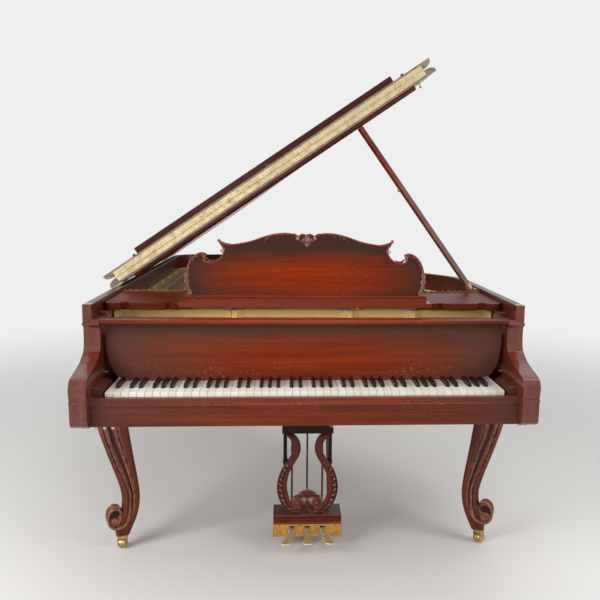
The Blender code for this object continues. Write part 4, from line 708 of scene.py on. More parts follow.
metals = {
    "oldBrass": {"bright": (0.62, 0.45, 0.20), "stain": (0.26, 0.15, 0.07), "scale": 34, "amount": 0.75,
                 "rough": 0.30, "metallic": 1.0},
    "hingeBrass": {"bright": (0.68, 0.56, 0.34), "stain": (0.30, 0.22, 0.12), "scale": 40, "amount": 0.7,
                   "rough": 0.38, "metallic": 1.0},
    "pedalPlateBrass": {"bright": (0.72, 0.40, 0.10), "stain": (0.34, 0.15, 0.03), "scale": 26, "amount": 0.8,
                        "rough": 0.36, "metallic": 1.0},
    # gold paint of the plate, brightened past its own colour as painted light for the band that lies in shadow under
    # the shelf
    "plateBronzeAndPaintedLight": {"bright": (1.00, 0.76, 0.34), "stain": (0.88, 0.62, 0.25), "scale": 10, "amount": 0.5,
                    "rough": 0.42, "metallic": 0.0},
    "pedalBrass": {"bright": (0.80, 0.68, 0.38), "stain": (0.55, 0.33, 0.12), "scale": 38, "amount": 0.55,
                   "rough": 0.24, "metallic": 0.60},
    "steelWire": {"bright": (0.62, 0.62, 0.62), "stain": (0.30, 0.28, 0.26), "scale": 60, "amount": 0.4,
                  "rough": 0.30, "metallic": 1.0},
    "rodIron": {"bright": (0.085, 0.065, 0.050), "stain": (0.035, 0.026, 0.022), "scale": 50, "amount": 0.6,
                "rough": 0.40, "metallic": 1.0},
    "screwBrass": {"bright": (0.30, 0.22, 0.11), "stain": (0.10, 0.07, 0.04), "scale": 60, "amount": 0.7,
                   "rough": 0.45, "metallic": 1.0},
    "copperWire": {"bright": (0.62, 0.30, 0.16), "stain": (0.26, 0.13, 0.08), "scale": 60, "amount": 0.5,
                   "rough": 0.38, "metallic": 1.0},
}


def makeMetal(name, look):
    made, tree, shader, place = newMaterial(name, look["rough"], metallic=look["metallic"])
    tarnish = placed(tree, tarnishGroup, {"Place": place},
                     {"Bright": (*look["bright"], 1), "Stain": (*look["stain"], 1), "Scale": look["scale"],
                      "Amount": look["amount"]})
    tree.links.new(tarnish.outputs["Color"], shader.inputs["Base Color"])
    rough = math2(tree, "ADD", math2(tree, "MULTIPLY", tarnish.outputs["Rough"], 0.30), look["rough"])
    tree.links.new(rough, shader.inputs["Roughness"])
    bumped(tree, shader, tarnish.outputs["Height"], 0.12, 0.0006)
    return made


plains = {
    "ivory": {"a": (0.95, 0.93, 0.87), "b": (0.90, 0.86, 0.77), "scale": 60, "rough": 0.30, "coat": 0.25,
              "squeeze": (1, 0.08, 1), "bump": 0.05},
    "ebony": {"a": (0.004, 0.0035, 0.0035), "b": (0.009, 0.007, 0.006), "scale": 90, "rough": 0.34, "coat": 0.06,
              "squeeze": (1, 0.1, 1), "bump": 0.1},
    "redFelt": {"a": (0.24, 0.010, 0.010), "b": (0.13, 0.005, 0.006), "scale": 500, "rough": 0.95, "coat": 0.0,
                "squeeze": (1, 1, 1), "bump": 0.6},
    "whiteFelt": {"a": (0.72, 0.70, 0.64), "b": (0.56, 0.53, 0.47), "scale": 500, "rough": 0.95, "coat": 0.0,
                  "squeeze": (1, 1, 1), "bump": 0.6},
    "darkRubber": {"a": (0.030, 0.026, 0.024), "b": (0.050, 0.044, 0.040), "scale": 200, "rough": 0.7, "coat": 0.0,
                   "squeeze": (1, 1, 1), "bump": 0.3},
}


def ivoryPattern(tree, place, color):
    # a slightly different tint for every key, and the hairline joint between head and tail
    split = put(tree, "SeparateXYZ", {"Vector": place})
    number = math2(tree, "FLOOR", math2(tree, "DIVIDE", split.outputs["X"], 0.0235))
    tint = put(tree, "TexWhiteNoise", {"W": number}, noise_dimensions="1D").outputs["Value"]
    yellow = mixColor(tree, math2(tree, "MULTIPLY", tint, 0.55), color, (0.78, 0.70, 0.54, 1))
    off = math2(tree, "ABSOLUTE", math2(tree, "SUBTRACT", split.outputs["Y"], 0.0494 + keyFront))
    seam = math2(tree, "MULTIPLY", math2(tree, "LESS_THAN", off, 0.00022), 0.6)
    return mixColor(tree, seam, yellow, (0.16, 0.12, 0.08, 1))


def makePlain(name, look):
    made, tree, shader, place = newMaterial(name, look["rough"], coat=look["coat"],
                                            sheen=0.3 if "Felt" in name else 0.0)
    squeezed = put(tree, "Mapping", {"Vector": place}, {"Scale": look["squeeze"]}).outputs[0]
    mottle = noise(tree, squeezed, look["scale"], 4.0)
    color = mixColor(tree, ramp(tree, mottle, ((0.35, 0.0), (0.70, 1.0))), (*look["a"], 1), (*look["b"], 1))
    if name == "ivory":
        color = ivoryPattern(tree, place, color)
    if name == "ebony":
        shader.inputs["Specular IOR Level"].default_value = 0.22
    tree.links.new(color, shader.inputs["Base Color"])
    bumped(tree, shader, mottle, look["bump"], 0.0004)
    return made


paint = {name: makeLacquer(name, look) for name, look in lacquers.items()}
paint.update({name: makeBareWood(name, look) for name, look in bareWoods.items()})
paint.update({name: makeMetal(name, look) for name, look in metals.items()})
paint.update({name: makePlain(name, look) for name, look in plains.items()})
print("materials ready:", len(paint))

made = set()  # CAD nodes that a detailed piece stands for


# ---- case: bent rim, arms with their moulded front, rail, slip and fallboard

case = {"half": 0.70, "front": 0.1403, "tail": 2.20, "wall": 0.028, "low": 0.632, "high": 0.972,
        "innerOut": 0.0283, "innerIn": 0.0517, "innerHigh": 0.8638, "innerFront": 0.3003}


def caseLine(front):
    # straight spine, a quarter circle at the tail, three cubics for the bent side, straight cheek
    half, tail = case["half"], case["tail"]
    spine = [(-half, front), (-half, front + 0.01), (-half, 1.2), (-half, tail - 0.15)]
    corner = arcLine((-half + 0.13, tail - 0.13), 0.13, 180, 90, 16)
    bends = [bezierLine(corners, 18) for corners in
             (((-0.42, tail), (-0.25, tail), (-0.15, 2.04), (-0.06, 1.86)),
              ((-0.06, 1.86), (0.06, 1.62), (0.24, 1.46), (0.40, 1.32)),
              ((0.40, 1.32), (0.58, 1.163), (half, 1.03), (half, 0.86)))]
    return np.concatenate([spine, corner, *bends, [(half, 0.86), (half, 0.84), (half, front + 0.01), (half, front)]])


def inside(line, distance):
    # every point moves square to its line, towards the inside of the case
    ahead = unit(np.gradient(line, axis=0))
    return line + distance * np.stack((ahead[:, 1], -ahead[:, 0]), -1)


def flatPath(line, level=0.0):
    return np.column_stack((line, np.full(len(line), level)))


def mirrored(part):
    return part[0] * (-1, 1, 1), [group[:, ::-1] for group in part[1]]


def both(part):
    return merged(part, mirrored(part))


def makeRim():
    outer = roundedBox(0, case["wall"], case["low"], case["high"], 0.0025)
    build("rim_bent", sweep(flatPath(caseLine(case["front"])), outer, (0, 0, 1)), paint["caseLacquer"], "case",
          ("rim",))
    inner = roundedBox(case["innerOut"], case["innerIn"], case["low"], case["innerHigh"], 0.0012, 3)
    line = caseLine(case["innerFront"])
    build("rim_lining", sweep(flatPath(line), inner, (0, 0, 1)), paint["caseLacquer"], "case", ("inner_rim",))


arm = {"inner": 0.648, "outer": 0.700, "bead": 0.005, "edge": 0.0016}


def armProfile():
    # side view: a foot, a half-round bead, an S-shaped front and a second bead under the flat top
    foot = smoothLine([(-0.050, 0.6262), (-0.062, 0.6350), (-0.066, 0.652), (-0.0675, 0.680), (-0.0675, 0.6995)], 4)
    lowBead = arcLine((-0.0675, 0.7058), arm["bead"], 262, 98, 9)
    swell = smoothLine([(-0.0665, 0.712), (-0.0733, 0.738), (-0.070, 0.756), (-0.058, 0.770), (-0.040, 0.7765),
                        (0.028, 0.790), (0.064, 0.800), (0.083, 0.809), (0.100, 0.8185), (0.109, 0.8255),
                        (0.1165, 0.845), (0.119, 0.870), (0.117, 0.895), (0.111, 0.9045)], 4)
    topBead = arcLine((0.105, 0.9105), arm["bead"], 262, 98, 9)
    return np.concatenate((foot, lowBead, swell, topBead, [(0.109, 0.9165), (0.109, 0.924), (0.140, 0.924), (0.140, 0.6262)]))


def makeArms():
    for side, sign in (("left", -1), ("right", 1)):
        x0, x1 = sorted((sign * arm["inner"], sign * arm["outer"]))
        front = prism(armProfile(), x0, x1)
        shape = [front]
        for inner, outer, y0, y1, z0, z1 in ((0.672, 0.700, 0.1092, 0.140, 0.9235, 0.972),
                                             (0.6483, 0.6717, 0.1395, 0.300, 0.632, 0.9238),
                                             (0.6484, 0.6714, 0.2995, 0.5815, 0.8641, 0.9342),
                                             (0.6484, 0.6714, 0.21, 0.3, 0.9237, 0.9342),
                                             (0.6481, 0.6720, -0.040, 0.139, 0.6215, 0.6270)):
            a, b = sorted((sign * inner, sign * outer))
            shape.append(block((a, y0, z0), (b, y1, z1)))
        build("arm_" + side + "_moulded", merged(*shape), paint["armLacquer"], "case", ("arm_" + side,),
              bevel=arm["edge"], steps=3, sharp=50)


board = {"half": 0.640, "near": 0.148, "far": 0.165, "low": 0.7275, "high": 0.904, "cornerX": 0.052,
         "cornerZ": 0.1255, "axis": (0.1565, 0.747)}


def makeFallboard():
    # an upright board whose lower corners are quarter ellipses, with a felt strip under its edge
    t = np.radians(np.linspace(0, 90, 17))
    corner = np.stack((board["half"] - board["cornerX"] * (1 - np.cos(t[::-1])),
                       board["low"] + board["cornerZ"] * (1 - np.sin(t[::-1]))), -1)
    right = np.concatenate((corner, [(board["half"], board["high"])]))
    outline = np.concatenate((right, right[::-1] * (-1, 1)))
    build("fallboard_panel", prism(outline, board["near"], board["far"], "y"), paint["panelLacquer"], "fallboard",
          ("fallboard",), bevel=0.0022, steps=3)
    y, z = board["axis"]
    pin = turned([(0.0035, 0.636), (0.0045, 0.6365), (0.0045, 0.6474), (0.0038, 0.648)], (0, y, z), (1, 0, 0), 14)
    build("fallboard_pins", both(pin), paint["screwBrass"], "fallboard")
    build("fallboard_felt", block((-0.580, 0.1465, 0.7232), (0.580, 0.1645, 0.7278)), paint["redFelt"], "fallboard",
          bevel=0.0008)


def makeFront():
    rail = np.concatenate((arcLine((0.1125, 0.9158), 0.0078, 250, 100, 12), [(0.1150, 0.924), (0.158, 0.924), (0.158, 0.9075)]))
    build("nameboard_rail_nosed", prism(rail, -0.6475, 0.6475), paint["railLacquer"], "case",
          ("nameboard_rail",), bevel=0.0008)
    slip = np.concatenate(([(-0.0295, 0.6608), (-0.0300, 0.683)], arcLine((-0.030, 0.6875), 0.0035, 262, 98, 8),
                           [(-0.0300, 0.692), (-0.0300, 0.7055)], arcLine((-0.0275, 0.706), 0.0025, 180, 90, 4),
                           [(-0.0085, 0.7085), (-0.008, 0.708), (-0.008, 0.6608)]))
    build("key_slip_beaded", prism(slip, -0.6475, 0.6475), paint["frontLacquer"], "case", ("key_slip",),
          bevel=0.0004, sharp=50)
    stud = turned([(0.0015, 0.0105), (0.0052, 0.0090), (0.0058, 0.004), (0.0058, 0)], (0, 0, 0), (0, 0, -1), 12)
    studs = [moved(stud, lambda points, x=x: points + (x, -0.016, 0.6220)) for x in (-0.635, -0.610, -0.585, 0.655)]
    build("keybed_studs", merged(*studs), paint["hingeBrass"], "case")


makeRim()
makeArms()
makeFallboard()
makeFront()
made |= {"rim", "inner_rim", "arm_left", "arm_right", "fallboard", "nameboard_rail", "key_slip"}
print("case pieces made")

# ---- lid: two boards with hollow ends, a continuous hinge between them, hook, buttons and side hinges

lid = {"half": 0.740, "low": 0.9745, "high": 0.9995, "lip": 0.9805, "cove": 0.037, "split": 0.640,
       "flapNear": 0.085, "flapFar": 0.6352, "coveEnd": 0.98, "axis": (-0.705, 0.985), "open": 34.26,
       "fold": (0.6376, 1.0019), "leafLow": 0.982, "leafHalf": 0.699, "knuckle": 0.0020,
       "screwStep": 0.0466, "screw": 0.0021}


def raised(points):
    # turned up about the spine hinge
    angle, (px, pz) = math.radians(lid["open"]), lid["axis"]
    x, y, z = np.moveaxis(points, -1, 0)
    return np.stack((px + (x - px) * math.cos(angle) - (z - pz) * math.sin(angle), y,
                     pz + (x - px) * math.sin(angle) + (z - pz) * math.cos(angle)), -1)


def folded(points):
    # half a turn about the knuckles, then up with the lid
    y, z = lid["fold"]
    return raised(points * (1, -1, -1) + (0, 2 * y, 2 * z))


def coved(outline, fade):
    # rings up the edge of a board; on the two ends each ring is held back to a quarter ellipse
    low, lip, high = lid["low"], lid["lip"], lid["high"]
    t = np.radians(np.linspace(88, 2, 12))
    levels = np.concatenate(([low, low + 0.0008], lip + (high - lip) * np.cos(t), [high]))
    reach = lid["half"] - lid["cove"] + lid["cove"] * np.sqrt(np.clip(1 - ((levels - lip) / (high - lip)) ** 2, 0, 1))
    reach[0] = lid["half"] - 0.0012
    reach[1:3] = lid["half"]
    x, y = outline.T
    weight = np.clip((lid["coveEnd"] + 0.03 - y) / 0.03, 0, 1) if fade else np.ones(len(x))
    held = np.sign(x) * np.minimum(np.abs(x), reach[:, None])
    x = x + (held - x) * weight
    rings = np.stack((x, np.broadcast_to(y, x.shape), np.broadcast_to(levels[:, None], x.shape)), -1)
    return grid(rings, wrapColumns=True, caps=True)


def boardPiece(name, part, body, replaces, cuts=(), edgeY=None):
    # the mating edge shows bare wood round the brass
    mesh = meshFrom(name, part)
    tidied(mesh, merge=1e-6)
    if cuts:
        mesh = cutAway(mesh, cuts)
    piece = finished(name, mesh, paint["lidLacquer"], body, replaces, bevel=0.0014, steps=2, sharp=34)
    mesh.materials.append(paint["edgeWood"])
    count = len(mesh.polygons)
    normals, centers = np.empty(count * 3, np.float32), np.empty(count * 3, np.float32)
    mesh.polygons.foreach_get("normal", normals)
    mesh.polygons.foreach_get("center", centers)
    normals, centers = normals.reshape(-1, 3), centers.reshape(-1, 3)
    bare = (normals[:, 1] < -0.95) & (np.abs(centers[:, 1] - keyFront - edgeY) < 0.002)
    mesh.polygons.foreach_set("material_index", bare.astype(np.int32))
    return piece


def cutAway(mesh, cuts):
    # takes blocks out of a mesh with the exact boolean and keeps the result
    body = bpy.data.objects.new("cut_body", mesh)
    tool = bpy.data.objects.new("cut_tool", meshFrom("cut_tool", merged(*cuts)))
    tidied(tool.data)
    for piece in (body, tool):
        scene.collection.objects.link(piece)
    change = body.modifiers.new("cut", "BOOLEAN")
    change.operation, change.object, change.solver = "DIFFERENCE", tool, "EXACT"
    result = bpy.data.meshes.new_from_object(body.evaluated_get(bpy.context.evaluated_depsgraph_get()))
    for piece in (body, tool):
        bpy.data.objects.remove(piece)
    return result


def makeLidBoards():
    over = lid["half"] - case["half"]
    line = inside(caseLine(lid["split"] + 0.02), -over)
    line[0], line[-1] = (-lid["half"], lid["split"]), (lid["half"], lid["split"])
    line = np.insert(line, [2, 2, len(line) - 4], [(-lid["half"], 0.98), (-lid["half"], 1.01), (lid["half"], 0.80)], axis=0)
    main = coved(line, True)
    split, low = lid["split"], lid["low"]
    batten = [(split + 0.004, low + 0.004), (split + 0.004, low - 0.010), (split + 0.012, low - 0.018),
              (split + 0.046, low - 0.018), (split + 0.050, low + 0.004)]
    parts = [moved(main, raised), moved(prism(batten, -0.640, 0.640), raised)]
    slots = [moved(block((-0.80, y - 0.043, low - 0.01), (lid["axis"][0] + 0.005, y + 0.043, lid["axis"][1] + 0.005)), raised)
             for y in (0.78, 1.80)]
    boardPiece("lid_main_board", parts[0], "lid", ("lid_main",), slots, split)
    build("lid_batten", parts[1], paint["lidLacquer"], "lid", bevel=0.0020, steps=3)
    near, far, half = lid["flapNear"], lid["flapFar"], lid["half"]
    flap = coved(np.array([(-half, near), (half, near), (half, far), (-half, far)]), False)
    boardPiece("lid_flap_board", moved(flap, folded), "flap", ("lid_flap",), (), split)
    apron = prism(np.concatenate(([(0.0985, low + 0.004), (0.0985, low - 0.050), (0.0965, low - 0.052)],
                                  [(0.0890, low - 0.052), (0.0870, low - 0.050), (0.0870, low + 0.004)])), -0.690, 0.690)
    build("lid_apron", moved(apron, folded), paint["lidLacquer"], "flap", bevel=0.0012)


def makeLidBrass():
    split, low, high, half, top = lid["split"], lid["leafLow"], lid["high"], lid["leafHalf"], lid["high"]
    axisY, axisZ = lid["fold"]
    # knuckles: short barrels along the joint, every second one on the other leaf
    pitch, gap = 0.0254, 0.0005
    starts = np.arange(-half, half - pitch / 2, pitch)
    barrels = [turned([(0.0012, gap), (lid["knuckle"], gap + 0.0003), (lid["knuckle"], pitch - gap - 0.0003), (0.0012, pitch - gap)],
                      (x, axisY, axisZ), (1, 0, 0), 10) for x in starts]
    mainLeaf = block((-half, split - 0.0015, low), (half, split - 0.0003, high + 0.0010))
    flapLeaf = block((-half, lid["flapFar"] + 0.0003, low), (half, lid["flapFar"] + 0.0015, top - 0.0001))
    build("hinge_long_main", moved(merged(mainLeaf, *barrels[::2]), raised), paint["hingeBrass"], "lid",
          ("hinge_leaf_main",), sharp=45)
    build("hinge_long_flap", moved(flapLeaf, folded), paint["hingeBrass"], "flap", ("hinge_leaf_flap",), sharp=45)
    build("hinge_long_knuckles", moved(merged(*barrels[1::2]), raised), paint["hingeBrass"], "flap", sharp=45)
    # staggered countersunk screws, each a shallow dome
    r = lid["screw"]
    dome = turned([(r, 0), (r, 0.0002), (r * 0.75, 0.00045), (r * 0.3, 0.0006)], (0, 0, 0), (0, -1, 0), 10)
    count = int(2 * half / lid["screwStep"])
    places = [((index + 0.5) * lid["screwStep"] - half, low + (0.0055 if index % 2 else 0.0120)) for index in range(count)]
    mains = [moved(dome, lambda points, x=x, z=z: points + (x, split - 0.0015, z)) for x, z in places]
    flaps = [moved(dome, lambda points, x=x, z=z: points * (1, -1, 1) + (x, lid["flapFar"] + 0.0015, z)) for x, z in places]
    build("hinge_screws_main", moved(merged(*mains), raised), paint["screwBrass"], "lid", sharp=60)
    build("hinge_screws_flap", moved(merged(*flaps), folded), paint["screwBrass"], "flap", sharp=60)
    # hook near the open side, rubber buttons, and the hinges on the spine
    hook = [(0.661, split + 0.016, lid["low"] + 0.002), (0.661, split + 0.0145, 0.966), (0.661, split + 0.0145, 0.957),
            (0.661, split + 0.019, 0.9535), (0.661, split + 0.027, 0.954), (0.661, split + 0.0325, 0.9575)]
    plate = block((0.654, split + 0.012, lid["low"] - 0.0022), (0.668, split + 0.030, lid["low"] + 0.0005))
    build("lid_hook", moved(merged(tube(smoothLine(hook, 5), 0.0026, 10, (1, 0, 0)), plate), raised), paint["oldBrass"],
          "lid", bevel=0.0004)
    button = turned([(0.0062, 0), (0.0066, 0.0030), (0.0055, 0.0060), (0.0025, 0.0076)], (0, 0, 0), (0, 0, 1), 16)
    folds = [moved(button, lambda points, x=x, y=y: (points * (1, 1, -1) + (x, y, lid["low"]))) for x, y in
             ((0.0135, 0.620), (0.625, 0.615), (-0.600, 0.615), (0.0135, 0.13))]
    build("lid_buttons", moved(merged(*folds), folded), paint["darkRubber"], "flap")
    lines = [(y, name) for y, name in ((0.78, "side_hinge_front"), (1.80, "side_hinge_rear"))]
    for y, name in lines:
        x, z = lid["axis"]
        step = 0.084 / 5
        knuckles = [turned([(0.0030, 0.0003), (0.0042, 0.0009), (0.0042, step - 0.0009), (0.0030, step - 0.0003)],
                           (x, y - 0.042 + step * index, z), (0, 1, 0), 14) for index in range(5)]
        leaf = block((-0.7038, y - 0.040, 0.942), (-0.7003, y + 0.040, 0.986))
        heads = [turned([(0.0034, 0), (0.0034, 0.0003), (0.0020, 0.0009)], (-0.7038, y + dy, 0.950 + dz), (-1, 0, 0), 10)
                 for dy, dz in ((-0.030, 0), (-0.010, 0.010), (0.010, 0), (0.030, 0.010))]
        ends = [ball((x, y + end, z), 0.0040, 12, (0, 1, 0)) for end in (-0.042, 0.042)]
        build(name + "_brass", merged(*knuckles, leaf, *heads, *ends), paint["oldBrass"], "case", (name,), sharp=40)


stick = {"foot": (0.6535, 0.618, 0.954), "head": (0.211, 0.665, 1.577), "knob": 0.63}


def makeStick():
    # the stick keeps its own form; it gets a brass collar at its foot and a knob, all along its own line
    foot, head = np.array(stick["foot"]), np.array(stick["head"])
    along = unit(head - foot)
    length = np.linalg.norm(head - foot)
    knob = foot + along * length * stick["knob"]
    outward = unit(np.cross(along, (0, 1, 0)))
    button = turned([(0.0030, 0.008), (0.0030, 0.0115), (0.0058, 0.013), (0.0062, 0.0155), (0.0040, 0.0180)], knob,
                    outward, 14)
    collar = sweep([foot + along * 0.011, foot + along * 0.034], roundedBox(-0.0094, 0.0094, -0.0094, 0.0094, 0.001, 2), (0, 1, 0))
    build("prop_fittings", merged(button, collar), paint["oldBrass"], "prop", bevel=0.0004)


makeLidBoards()
makeLidBrass()
makeStick()
made |= {"lid_main", "lid_flap", "hinge_leaf_main", "hinge_leaf_flap", "side_hinge_front", "side_hinge_rear"}
print("lid pieces made")

# ---- music desk and its sliding shelf

shelf = {"front": 0.240, "outer": 0.668, "back": 0.560, "inner": 0.427, "low": 0.9345, "trayLow": 0.9415, "high": 0.9585,
         "edge": 0.0028}


def makeShelf():
    y0 = shelf["front"]
    corner = smoothLine([(shelf["outer"], 0.032), (0.658, 0.010), (0.640, 0.001), (0.612, 0.006)], 7)
    bow = smoothLine([(0.582, 0.006), (0.550, 0.001), (0.510, 0), (0.464, 0.007)], 8)
    right = np.concatenate((corner, [(0.610, 0.022), (0.590, 0.026), (0.584, 0.012)], bow,
                            [(0.460, 0.016), (0.4475, 0.0155), (0.4465, 0.0065), (shelf["inner"], 0.0058),
                             (shelf["inner"] - 0.004, 0)])) + (0, y0)
    inner = (shelf["inner"] - 0.004, y0)
    wing = np.concatenate((right[::-1], [(shelf["outer"], shelf["back"]), (0.430, shelf["back"]), (inner[0], 0.50)]))
    tray = np.array([(-inner[0], y0), inner, (inner[0], 0.505), (0.400, 0.415), (0.360, 0.385), (-0.360, 0.385),
                     (-0.400, 0.415), (-inner[0], 0.505)])
    build("music_shelf_wings", both(prism(wing, shelf["low"], shelf["high"], "z")), paint["wingLacquer"], "shelf",
          ("music_shelf",), bevel=shelf["edge"], steps=3, sharp=28)
    build("music_shelf_tray", prism(tray, shelf["trayLow"], shelf["high"], "z"), paint["railLacquer"], "shelf",
          bevel=0.0022, steps=3, sharp=28)
    build("music_shelf_lip", block((-0.405, y0 + 0.004, 0.9570), (0.405, y0 + 0.014, 0.9685)), paint["railLacquer"],
          "shelf", bevel=0.0022, steps=3)
    # a carved gallery: a round moulding that waves along the back of each wing, with a knob at its inner end
    x = np.linspace(0.437, 0.662, 121)
    wave = np.cos((x - 0.437) / 0.0225 * 2 * np.pi)
    path = np.stack((x, 0.5545 + 0.0016 * wave, 0.9598 + 0.0010 * wave), -1)
    rail = tube(path, 0.0026 + 0.0009 * wave, 8, (0, 0, 1))
    knob = ball((0.4415, 0.549, 0.9640), 0.0048, 14)
    build("music_shelf_gallery", both(merged(rail, knob)), paint["edgeLacquer"], "shelf")


desk = {"near": 0.262, "thick": 0.016, "base": 0.9603, "half": 0.405, "lean": 10.0, "axis": (0.270, 0.9675),
        "bead": 0.0024, "tall": 0.973}


def leaned(points):
    # tipped back about the line along the foot of the desk
    angle, (ay, az) = math.radians(desk["lean"]), desk["axis"]
    x, y, z = np.moveaxis(points, -1, 0)
    return np.stack((x, ay + (y - ay) * math.cos(angle) + (z - az) * math.sin(angle),
                     az - (y - ay) * math.sin(angle) + (z - az) * math.cos(angle)), -1)


def deskSpace(place, depth):
    # from across, height and depth in front of the panel to the leaning desk
    x, height = np.moveaxis(np.asarray(place, float), -1, 0)
    return leaned(np.stack((x, desk["near"] - depth + 0 * x, desk["base"] + height * desk["tall"]), -1))


def deskOutline():
    crown = smoothLine([(0, 0.232), (0.014, 0.236), (0.030, 0.229), (0.060, 0.238), (0.100, 0.236), (0.140, 0.226),
                        (0.185, 0.210), (0.225, 0.201), (0.262, 0.197), (0.282, 0.203), (0.293, 0.212)], 5)
    notch = smoothLine([(0.2925, 0.211), (0.287, 0.196), (0.2775, 0.180), (0.282, 0.162), (0.2925, 0.147),
                        (0.3105, 0.1365), (0.326, 0.135), (0.3385, 0.1415), (0.3375, 0.155), (0.3345, 0.166)], 4)
    ear = smoothLine([(0.3345, 0.166), (0.352, 0.1695), (0.372, 0.1605), (0.3885, 0.142), (0.398, 0.118),
                      (0.4025, 0.090), (0.401, 0.068), (0.394, 0.050), (0.397, 0.044), (0.387, 0.030), (0.384, 0.0215)], 4)
    return np.concatenate((crown[:-1], notch[:-1], ear))


def leafOn(points, width, height, lobes, steps=4, toSpace=deskSpace, lift=0.0):
    spine = smoothLine(points, steps)
    return carvedLeaf(spine, width, height, lobes, lambda place, depth: toSpace(place, depth + lift))


def makeDesk():
    edge = deskOutline()
    right = np.concatenate((edge, [(0.384, 0.012)]))
    outline = np.concatenate((right, right[::-1][:-1] * (-1, 1)))
    panel = prism(outline * (1, desk["tall"]) + (0, desk["base"]), desk["near"], desk["near"] + desk["thick"], "y")
    build("music_desk_panel", moved(panel, leaned), paint["deskLacquer"], "desk", ("music_desk",),
          bevel=0.0016, steps=2, sharp=45)
    ay, az = desk["axis"]
    foot = arcLine((ay, az), desk["thick"] / 2 + 0.0004, 180, 360, 16)
    rail = np.concatenate((foot, [(foot[-1][0], desk["base"] + 0.020), (foot[0][0], desk["base"] + 0.020)]))
    beads = [sweep(deskSpace([(-0.409, level), (0.409, level)], 0.0006), circle(12) * radius, (0, 1, 0))
             for level, radius in ((0.0072, 0.0036), (0.0152, 0.0031))]
    build("music_desk_rail", merged(moved(prism(rail, -desk["half"], desk["half"]), leaned), *beads),
          paint["railLacquer"], "desk", bevel=0.0006, sharp=50)
    # the raised bead that follows the whole outline, just inside it
    both2 = np.concatenate((edge[::-1] * (-1, 1), edge[1:]))
    ahead = unit(np.gradient(both2, axis=0))
    inset = both2 + 0.0034 * np.stack((ahead[:, 1], -ahead[:, 0]), -1)
    size = desk["bead"] * (1 + 0.25 * np.exp(-((np.abs(both2[:, 0]) - 0.36) / 0.05) ** 2))
    build("music_desk_bead", tube(deskSpace(inset, 0.0004), size, 10, (0, 1, 0)), paint["edgeLacquer"], "desk",
          sharp=60)
    makeDeskCarving()


def makeDeskCarving():
    sprays = [leafOn([(0.112, 0.2295), (0.124, 0.2235), (0.134, 0.2150), (0.1400, 0.2060)], 0.0110, 0.0046, 2),
              leafOn([(0.060, 0.2330), (0.078, 0.2325), (0.098, 0.2295), (0.120, 0.2225)], 0.0085, 0.0040, 3),
              leafOn([(0.026, 0.2230), (0.036, 0.2300), (0.048, 0.2325), (0.062, 0.2310)], 0.0090, 0.0042, 2),
              leafOn([(0.086, 0.2290), (0.094, 0.2235), (0.102, 0.2200), (0.112, 0.2185)], 0.0060, 0.0032, 2)]
    curl = spiral(deskSpace((0.0305, 0.2185), 0.0012), (1, 0, 0), deskUp(), 0.0062, 0.0016, 1.3, 80, 0.0022, 0.0013, 8, 22)
    horn = [ball(deskSpace((0.2925, 0.2100), 0.0010), 0.0056, 14, (0, 1, 0)),
            leafOn([(0.292, 0.2075), (0.286, 0.1990), (0.280, 0.1900), (0.2785, 0.1800)], 0.0095, 0.0045, 2),
            leafOn([(0.2900, 0.2080), (0.277, 0.2005), (0.262, 0.1970), (0.246, 0.1975)], 0.0085, 0.0040, 3),
            spiral(deskSpace((0.2825, 0.1745), 0.0010), (1, 0, 0), deskUp(), 0.0068, 0.0016, 1.25, 100, 0.0022, 0.0012, 8, 22)]
    ear = [leafOn([(0.3900, 0.0260), (0.3945, 0.0440), (0.3975, 0.0660), (0.3980, 0.0880), (0.3935, 0.1120), (0.3850, 0.1330)],
                  0.0165, 0.0062, 5),
           leafOn([(0.3800, 0.1400), (0.3680, 0.1545), (0.3540, 0.1625), (0.3400, 0.1625), (0.3335, 0.1560)], 0.0135, 0.0058, 4),
           leafOn([(0.3350, 0.1500), (0.3260, 0.1395), (0.3120, 0.1385), (0.2990, 0.1455)], 0.0090, 0.0044, 3),
           spiral(deskSpace((0.3905, 0.0325), 0.0010), (1, 0, 0), deskUp(), 0.0078, 0.0018, 1.4, 60, 0.0024, 0.0014, 8, 22),
           spiral(deskSpace((0.3420, 0.1560), 0.0012), (1, 0, 0), deskUp(), 0.0070, 0.0016, 1.3, 20, 0.0022, 0.0012, 8, 22)]
    build("music_desk_leaves", both(merged(*sprays, curl, *horn, *ear)), paint["reliefLacquer"], "desk", sharp=70)
    # rosette: four broad and four narrow petals round a boss
    cx, cz = 0.003, 0.2095
    petals = []
    for index in range(8):
        angle = math.radians(90 + 45 * index)
        reach, wide = ((0.0245, 0.0165), (0.0180, 0.0110))[index % 2]
        way = np.array((math.cos(angle), math.sin(angle)))
        spine = np.array((cx, cz)) + np.linspace(0.002, reach, 13)[:, None] * way
        petals.append(carvedLeaf(spine, wide, 0.0062 - 0.0014 * (index % 2), 2, deskSpace))
    boss = ball(deskSpace((cx, cz), 0.0052), 0.0054, 16, (0, 1, 0), 0.8)
    ring = [ball(deskSpace((cx + 0.0085 * math.cos(a), cz + 0.0085 * math.sin(a)), 0.0048), 0.0016, 8, (0, 1, 0))
            for a in np.radians(np.arange(22.5, 360, 45))]
    build("music_desk_rosette", merged(*petals, boss, *ring), paint["reliefLacquer"], "desk", sharp=70)


def deskUp():
    angle = math.radians(desk["lean"])
    return (0, math.sin(angle), math.cos(angle))


makeShelf()
makeDesk()
made |= {"music_shelf", "music_desk"}
print("desk pieces made")

# ---- inside: bridges with wound and plain strings, pins, felts, bolts

strung = {"starts": (0.490, 0.518, 0.530, 0.540), "level": 0.9120, "singles": 8, "bass": 26, "plain": 0.00055,
          "wound": (0.0017, 0.0009), "spread": 0.0024, "pinRow": 0.0095, "pinFirst": 0.034}


